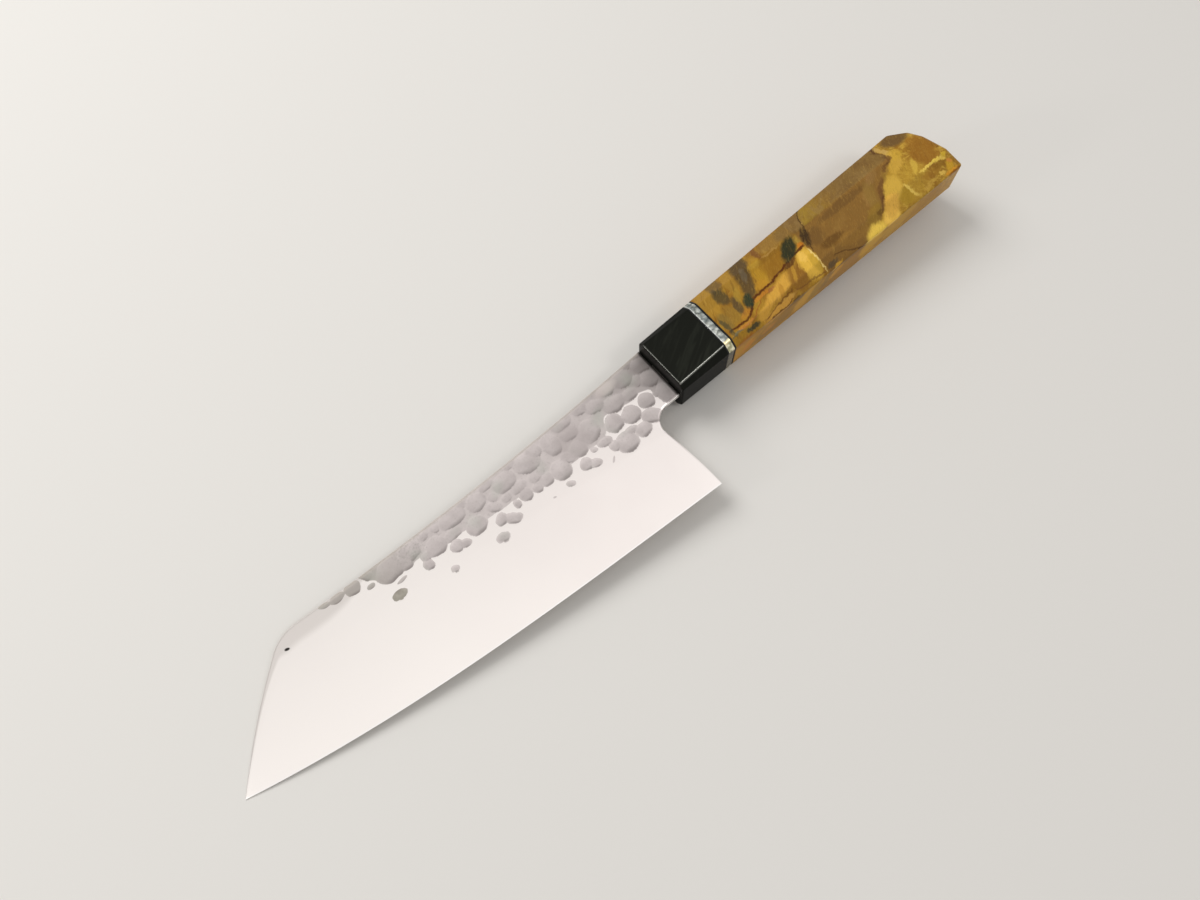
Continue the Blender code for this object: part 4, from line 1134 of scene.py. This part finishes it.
def burl_material(settings):
    """Dyed burl in clear resin: golden figure, smoky resin, teal pockets and dark veins.

    The tables hold the figure of the upper faces. Further down the sides it fades into
    a free figure that is grown from noise in the block's whole depth.
    """
    material, tree, place = new_material("dyed_burl_finish")
    x, y, z = (axis / MM for axis in split(tree, place))
    depth = (-z + 6.2).most(0.0)
    upper = depth.ease(14.0, 10.5)
    lower = -upper + 1.0
    inside = join(tree, x, y, z)
    warp, small = wander(tree, inside, 0.17, 3.0), wander(tree, inside, 0.75, 3.0)
    u = x + depth * 0.3 + warp[0] * 2.4 + small[0] * 1.1
    v = y + y * depth * 0.06 + warp[1] * 2.4 + small[1] * 1.1
    figure = join(tree, u, v, z)

    def grown(sizes, turn, *numbers, centre=(0.0, 0.0, 0.0)):
        return noise(tree, stretched(tree, figure, sizes, turn, centre), 1.0, *numbers)

    lean = (0.0, 0.0, math.radians(60))
    silk = grown((5.0, 0.9, 2.5), lean, 5.0, 0.62, 0.9)
    broad = grown((11.0, 3.4, 5.0), lean, 4.0, 0.55, 0.8)
    fibre = grown((1.6, 0.22, 0.5), lean, 4.0, 0.6, 0.6)
    crinkle = grown((3.0, 1.7, 2.0), (0.0, 0.0, -0.5), 4.0, 0.5, 1.6)
    pocket = grown((6.0, 4.0, 5.0), (0.0, 0.6, 0.4), 3.0, centre=(7.0, 3.0, 11.0))
    crack = grown((16.0, 8.0, 8.0), (0.4, 0.0, 0.3), 3.0, 0.5, 0.5, centre=(3.0, 1.0, 8.0))
    spot = ellipse_place(tree, u + (silk - 0.5) * 2.2, v + (silk - 0.5) * 1.6, lower * 90.0)

    # Free figure of the whole block
    base = Layers(tree, settings.burl_colour)
    base.lay(broad.ramp(0.4, 0.6), paint(150, 106, 34))
    base.lay(broad.ramp(0.56, 0.64) * lower * 0.8, paint(98, 76, 46))
    base.lay(pocket.ramp(0.64, 0.69) * lower, settings.teal_colour)
    base.lay_spots(spot, BURL_SPOTS)

    # Smoky middle, cut off from the golden butt by a curved border
    border = v.curve(BUTT_BORDER, -16, 16, 80, 120)
    # Painted light on the far facet of the smoky middle: a lighter tone than the top, with figure in it
    facet = Layers(tree, paint(160, 128, 46)).lay(x.ramp(74, 82), paint(144, 108, 46))
    facet.lay(x.ramp(80, 90), paint(133, 103, 55))
    facet.lay((u - v * 0.45).ramp(67.4, 66.2), paint(128, 98, 52))
    facet.lay(broad.ramp(0.46, 0.6) * 0.5, paint(152, 122, 72))
    facet.lay(pocket.ramp(0.5, 0.62) * 0.45, paint(112, 80, 44))
    smoke = Layers(tree, settings.smoke_colour).lay(silk.ramp(0.35, 0.65), paint(134, 96, 44))
    smoke.lay_spots(spot, SMOKE_SPOTS)
    smoke.lay((y + (silk - 0.5) * 1.2).ease(4.9, 5.7) * upper * 0.9, facet)
    before_border = border - u
    base.lay(u.ease(64.0, 64.9) * before_border.ease(-0.3, 0.5), smoke)
    seam = before_border.ease(-0.3, 0.4) * before_border.ease(3.4, 0.8) * u.ramp(91, 95)
    base.lay(seam * noise(tree, figure, 0.3, 2.0).ramp(0.42, 0.56) * 0.9, paint(84, 50, 28))
    butt = before_border.ease(0.0, -1.2)
    # Painted sheen and shade of the butt's wavy figure
    base.lay(butt * crinkle.ramp(0.48, 0.66) * 0.6, paint(216, 178, 74))
    base.lay(butt * crinkle.ramp(0.46, 0.32) * 0.6, paint(158, 118, 38))
    base.lay_spots(spot, BUTT_SPOTS)

    # Veins, pockets and cracks
    for points, width, share, tone in BURL_VEINS:
        first, last = points[0][0], points[-1][0]
        away = abs(v - u.curve(points, first, last, -16, 16))
        ends = u.ramp(first - 0.5, first + 0.5) * u.ramp(last + 0.5, last - 0.5)
        base.lay(away.ease(width, width * 0.3) * ends * upper * share, paint(*tone))
    base.lay_spots(spot, BURL_POCKETS)
    base.lay(abs(crack - 0.5).ramp(0.012, 0.004) * lower, settings.vein_colour)

    # Warmer walls, painted shade on the far facet, and the silk and fibre over everything
    base.lay(depth.ramp(0.8, 2.6) * 0.35, paint(196, 140, 20))
    fold = (abs(y) - 12.9 + (x - 126.0) * -0.035).ramp(-6.4, -5.6)
    base.lay(y.ramp(0.0, 1.0) * fold * 0.14, paint(52, 38, 20))
    base.lay(silk.ramp(0.56, 0.76) * 0.28, paint(216, 174, 84))
    base.lay(silk.ramp(0.42, 0.28) * 0.45, paint(106, 74, 26))
    base.lay(fibre.ramp(0.5, 0.75) * 0.3, paint(110, 76, 26))
    base.lay(fibre.ramp(0.45, 0.22) * 0.2, paint(226, 188, 92))
    return finished(material, {
        "Base Color": base, "Roughness": silk.ramp(0.3, 0.7, 0.3, 0.44), "Specular IOR Level": 0.06,
        "Coat Weight": 0.18, "Coat IOR": 1.3, "Coat Roughness": 0.05,
        "Normal": bump(tree, silk, 0.05 * MM, 0.1)})


def wood_material():
    """Plain straight-grained wood of the hidden dowel."""
    material, tree, place = new_material("plain_wood_finish")
    grain = noise(tree, stretched(tree, place, (16 * MM, 1.1 * MM, 1.1 * MM)), 1.0, 4.0, 0.6, 0.4)
    tone = Layers(tree, paint(196, 158, 112)).lay(grain.ramp(0.3, 0.7), paint(154, 112, 68))
    return finished(material, {"Base Color": tone, "Roughness": 0.6,
                               "Normal": bump(tree, grain, 0.05 * MM, 0.5)})


def resin_material():
    """Cloudy cured resin round the hidden tang."""
    material, tree, place = new_material("clear_resin_finish")
    cloud = noise(tree, place, 300.0, 3.0)
    tone = Layers(tree, paint(206, 190, 150)).lay(cloud.ramp(0.3, 0.7), paint(176, 156, 112))
    return finished(material, {"Base Color": tone, "Roughness": cloud.ramp(0.3, 0.7, 0.2, 0.35)})


def floor_material(settings):
    """Plain pale floor without a pattern."""
    material = bpy.data.materials.new("pale_floor")
    material.use_nodes = True
    return finished(material, {"Base Color": settings.floor_colour, "Roughness": 0.8,
                               "Specular IOR Level": 0.2})


# Operators

class KNIFE_OT_blade(bpy.types.Operator):
    """Build the hammered blade with its ground bevel"""
    bl_idname = "knife.blade"
    bl_label = "Blade"

    def execute(self, context):
        settings = context.scene.knife_blade
        cloud = mark_cloud()
        blade = grow("hammered_blade", blade_skin(), hammer_tree(),
                     {"Marks": cloud, "Depth": settings.mark_depth, "Steel": steel_material(settings)})
        bpy.data.objects.remove(cloud, do_unlink=True)
        lay_down(blade, BLADE_SHARP_ANGLE)
        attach(blade, "root")
        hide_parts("blade")
        return {"FINISHED"}


class KNIFE_OT_ferrule(bpy.types.Operator):
    """Build the polished black ferrule"""
    bl_idname = "knife.ferrule"
    bl_label = "Ferrule"

    def execute(self, context):
        settings = context.scene.knife_handle
        piece = eight_sided_piece("polished_ferrule", {
            "Start": 0.0, "End": FERRULE_END, "Front Rim": FRONT_RIM_RADIUS, "Edge Softness": 2.0,
            "Rings": 70, "Points Around": settings.points_around, "Finish": horn_material(settings)})
        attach(piece, "root")
        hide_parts("ferrule")
        return {"FINISHED"}


class KNIFE_OT_plates(bpy.types.Operator):
    """Build the patterned metal spacer and the two thin black plates"""
    bl_idname = "knife.plates"
    bl_label = "Spacer and Plates"

    def execute(self, context):
        settings = context.scene.knife_handle
        fibre = fibre_material(settings)
        for name, node, start in (("front_plate", "liner_front", LINER_FRONT_START),
                                  ("rear_plate", "liner_rear", LINER_REAR_START)):
            piece = eight_sided_piece(name, {
                "Start": start, "End": start + LINER_THICKNESS, "Edge Softness": 1.6, "Rings": 14,
                "Points Around": settings.points_around, "Finish": fibre})
            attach(piece, "root")
            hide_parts(node)
        spacer = eight_sided_piece("patterned_spacer", {
            "Start": SPACER_START, "End": SPACER_END, "Front Rim": SPACER_RIM, "Rear Rim": SPACER_RIM,
            "Edge Softness": 1.8, "Ripple Height": settings.ripple_height, "Rings": 64,
            "Points Around": SPACER_POINTS_AROUND, "Finish": spacer_material(settings)})
        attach(spacer, "root")
        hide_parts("spacer")
        return {"FINISHED"}


class KNIFE_OT_block(bpy.types.Operator):
    """Build the eight-sided handle block of dyed burl"""
    bl_idname = "knife.block"
    bl_label = "Handle Block"

    def execute(self, context):
        settings = context.scene.knife_handle
        piece = eight_sided_piece("burl_block", {
            "Start": BLOCK_START, "End": HANDLE_LENGTH, "Rear Rim": BUTT_RIM_RADIUS, "Slant": BUTT_SLANT,
            "Far Facet Share": FAR_FACET_SHARE, "Edge Softness": settings.edge_softness,
            "Cut Start": HANDLE_LENGTH - BUTT_CUT_LENGTH, "Rings": 180,
            "Points Around": settings.points_around, "Finish": burl_material(settings)})
        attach(piece, "root")
        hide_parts("handle")
        return {"FINISHED"}


class KNIFE_OT_core(bpy.types.Operator):
    """Give the hidden dowel and the resin round the tang their finishes"""
    bl_idname = "knife.core"
    bl_label = "Hidden Core"

    def execute(self, context):
        for node, material in (("core_dowel", wood_material()), ("tang_bedding", resin_material())):
            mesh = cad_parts[node].data
            mesh.materials.clear()
            mesh.materials.append(material)
        return {"FINISHED"}


class KNIFE_OT_stage(bpy.types.Operator):
    """Set up the pale floor, the soft lamps, the even sky and the camera"""
    bl_idname = "knife.stage"
    bl_label = "Stage"

    def execute(self, context):
        settings = context.scene.knife_stage
        add_floor(settings)
        add_lamp("key_lamp", (-0.2, 0.8, 0.8), 0.7, settings.key_power, seen_in_gloss=False)
        add_lamp("near_edge_lamp", (0.29, -0.42, 0.76), 0.2, settings.edge_power)
        add_lamp("front_edge_lamp", (-0.79, 0.26, 0.31), 0.16, settings.edge_power)
        add_sky(settings)
        add_camera()
        context.scene.view_settings.view_transform = "Standard"
        return {"FINISHED"}


# Stage

def add_floor(settings):
    mesh = bpy.data.meshes.new("floor")
    corners = [(x * FLOOR_HALF_SIZE, y * FLOOR_HALF_SIZE, 0) for x, y in ((-1, -1), (1, -1), (1, 1), (-1, 1))]
    mesh.from_pydata(corners, [], [(0, 1, 2, 3)])
    mesh.materials.append(floor_material(settings))
    floor = bpy.data.objects.new("floor", mesh)
    bpy.context.scene.collection.objects.link(floor)


def add_lamp(name, place, size, power, seen_in_gloss=True):
    lamp = bpy.data.lights.new(name, "AREA")
    lamp.shape = "DISK"
    lamp.size = size
    lamp.energy = power
    item = bpy.data.objects.new(name, lamp)
    item.location = place
    item.rotation_euler = Vector(place).to_track_quat("Z", "Y").to_euler()
    item.visible_glossy = seen_in_gloss
    bpy.context.scene.collection.objects.link(item)


def add_sky(settings):
    """Even soft light. What the pieces mirror is bright on the edge side and dim on the spine side.

    Far behind the spine and low down the mirrored sky grows bright again, and it is
    softened near the horizon, so that pale steel doesn't clip.
    """
    world = bpy.data.worlds.new("studio_sky")
    bpy.context.scene.world = world
    world.use_nodes = True
    tree = world.node_tree
    sky = tree.nodes["Background"]
    rays = tree.nodes.new("ShaderNodeLightPath")
    _, heading, height = split(tree, tree.nodes.new("ShaderNodeTexCoord").outputs["Generated"])
    camera, mirrored, through = (Value(tree, rays.outputs[f"Is {name} Ray"])
                                 for name in ("Camera", "Glossy", "Transmission"))
    glow = heading.ramp(-0.15, 0.62, 1.3, 0.5) + heading.ease(0.66, 0.95) * 0.9
    glow = glow * height.ramp(0.3, 0.7, 0.64, 1.0) * heading.ramp(-0.75, -0.3, 0.75, 1.0)
    strength = mirrored.ramp(0.0, 1.0, settings.sky_strength, glow)
    plug(tree, (1.0, 0.99, 0.975), sky.inputs["Color"])
    plug(tree, camera.most(through).ramp(0.0, 1.0, strength, BACKGROUND_STRENGTH), sky.inputs["Strength"])
    world.cycles.sampling_method = "NONE"


def add_camera():
    camera = bpy.data.cameras.new("photo_camera")
    camera.sensor_width = CAMERA_SENSOR
    camera.lens = CAMERA_LENS
    item = bpy.data.objects.new("photo_camera", camera)
    item.location = CAMERA_PLACE
    item.rotation_euler = CAMERA_TURN
    bpy.context.scene.collection.objects.link(item)
    bpy.context.scene.camera = item


class KNIFE_PT_panel(bpy.types.Panel):
    """Lists the knife's pieces and their settings"""
    bl_label = "Hammered Kitchen Knife"
    bl_idname = "KNIFE_PT_panel"
    bl_space_type = "VIEW_3D"
    bl_region_type = "UI"
    bl_category = "Knife"

    def draw(self, context):
        for operator in OPERATORS:
            self.layout.operator(operator.bl_idname)
        for group in (context.scene.knife_blade, context.scene.knife_handle, context.scene.knife_stage):
            box = self.layout.box()
            for name in group.__annotations__:
                box.prop(group, name)


OPERATORS = (KNIFE_OT_blade, KNIFE_OT_ferrule, KNIFE_OT_plates, KNIFE_OT_block, KNIFE_OT_core, KNIFE_OT_stage)
GROUPS = (KnifeBladeSettings, KnifeHandleSettings, KnifeStageSettings)


def register():
    for item in GROUPS + OPERATORS + (KNIFE_PT_panel,):
        bpy.utils.register_class(item)
    bpy.types.Scene.knife_blade = PointerProperty(type=KnifeBladeSettings)
    bpy.types.Scene.knife_handle = PointerProperty(type=KnifeHandleSettings)
    bpy.types.Scene.knife_stage = PointerProperty(type=KnifeStageSettings)


def unregister():
    del bpy.types.Scene.knife_blade
    del bpy.types.Scene.knife_handle
    del bpy.types.Scene.knife_stage
    for item in reversed(GROUPS + OPERATORS + (KNIFE_PT_panel,)):
        bpy.utils.unregister_class(item)


def main():
    register()
    bpy.ops.knife.blade()
    bpy.ops.knife.ferrule()
    bpy.ops.knife.plates()
    bpy.ops.knife.block()
    bpy.ops.knife.core()
    bpy.ops.knife.stage()
    bpy.context.view_layer.update()


if __name__ == "__main__":
    main()
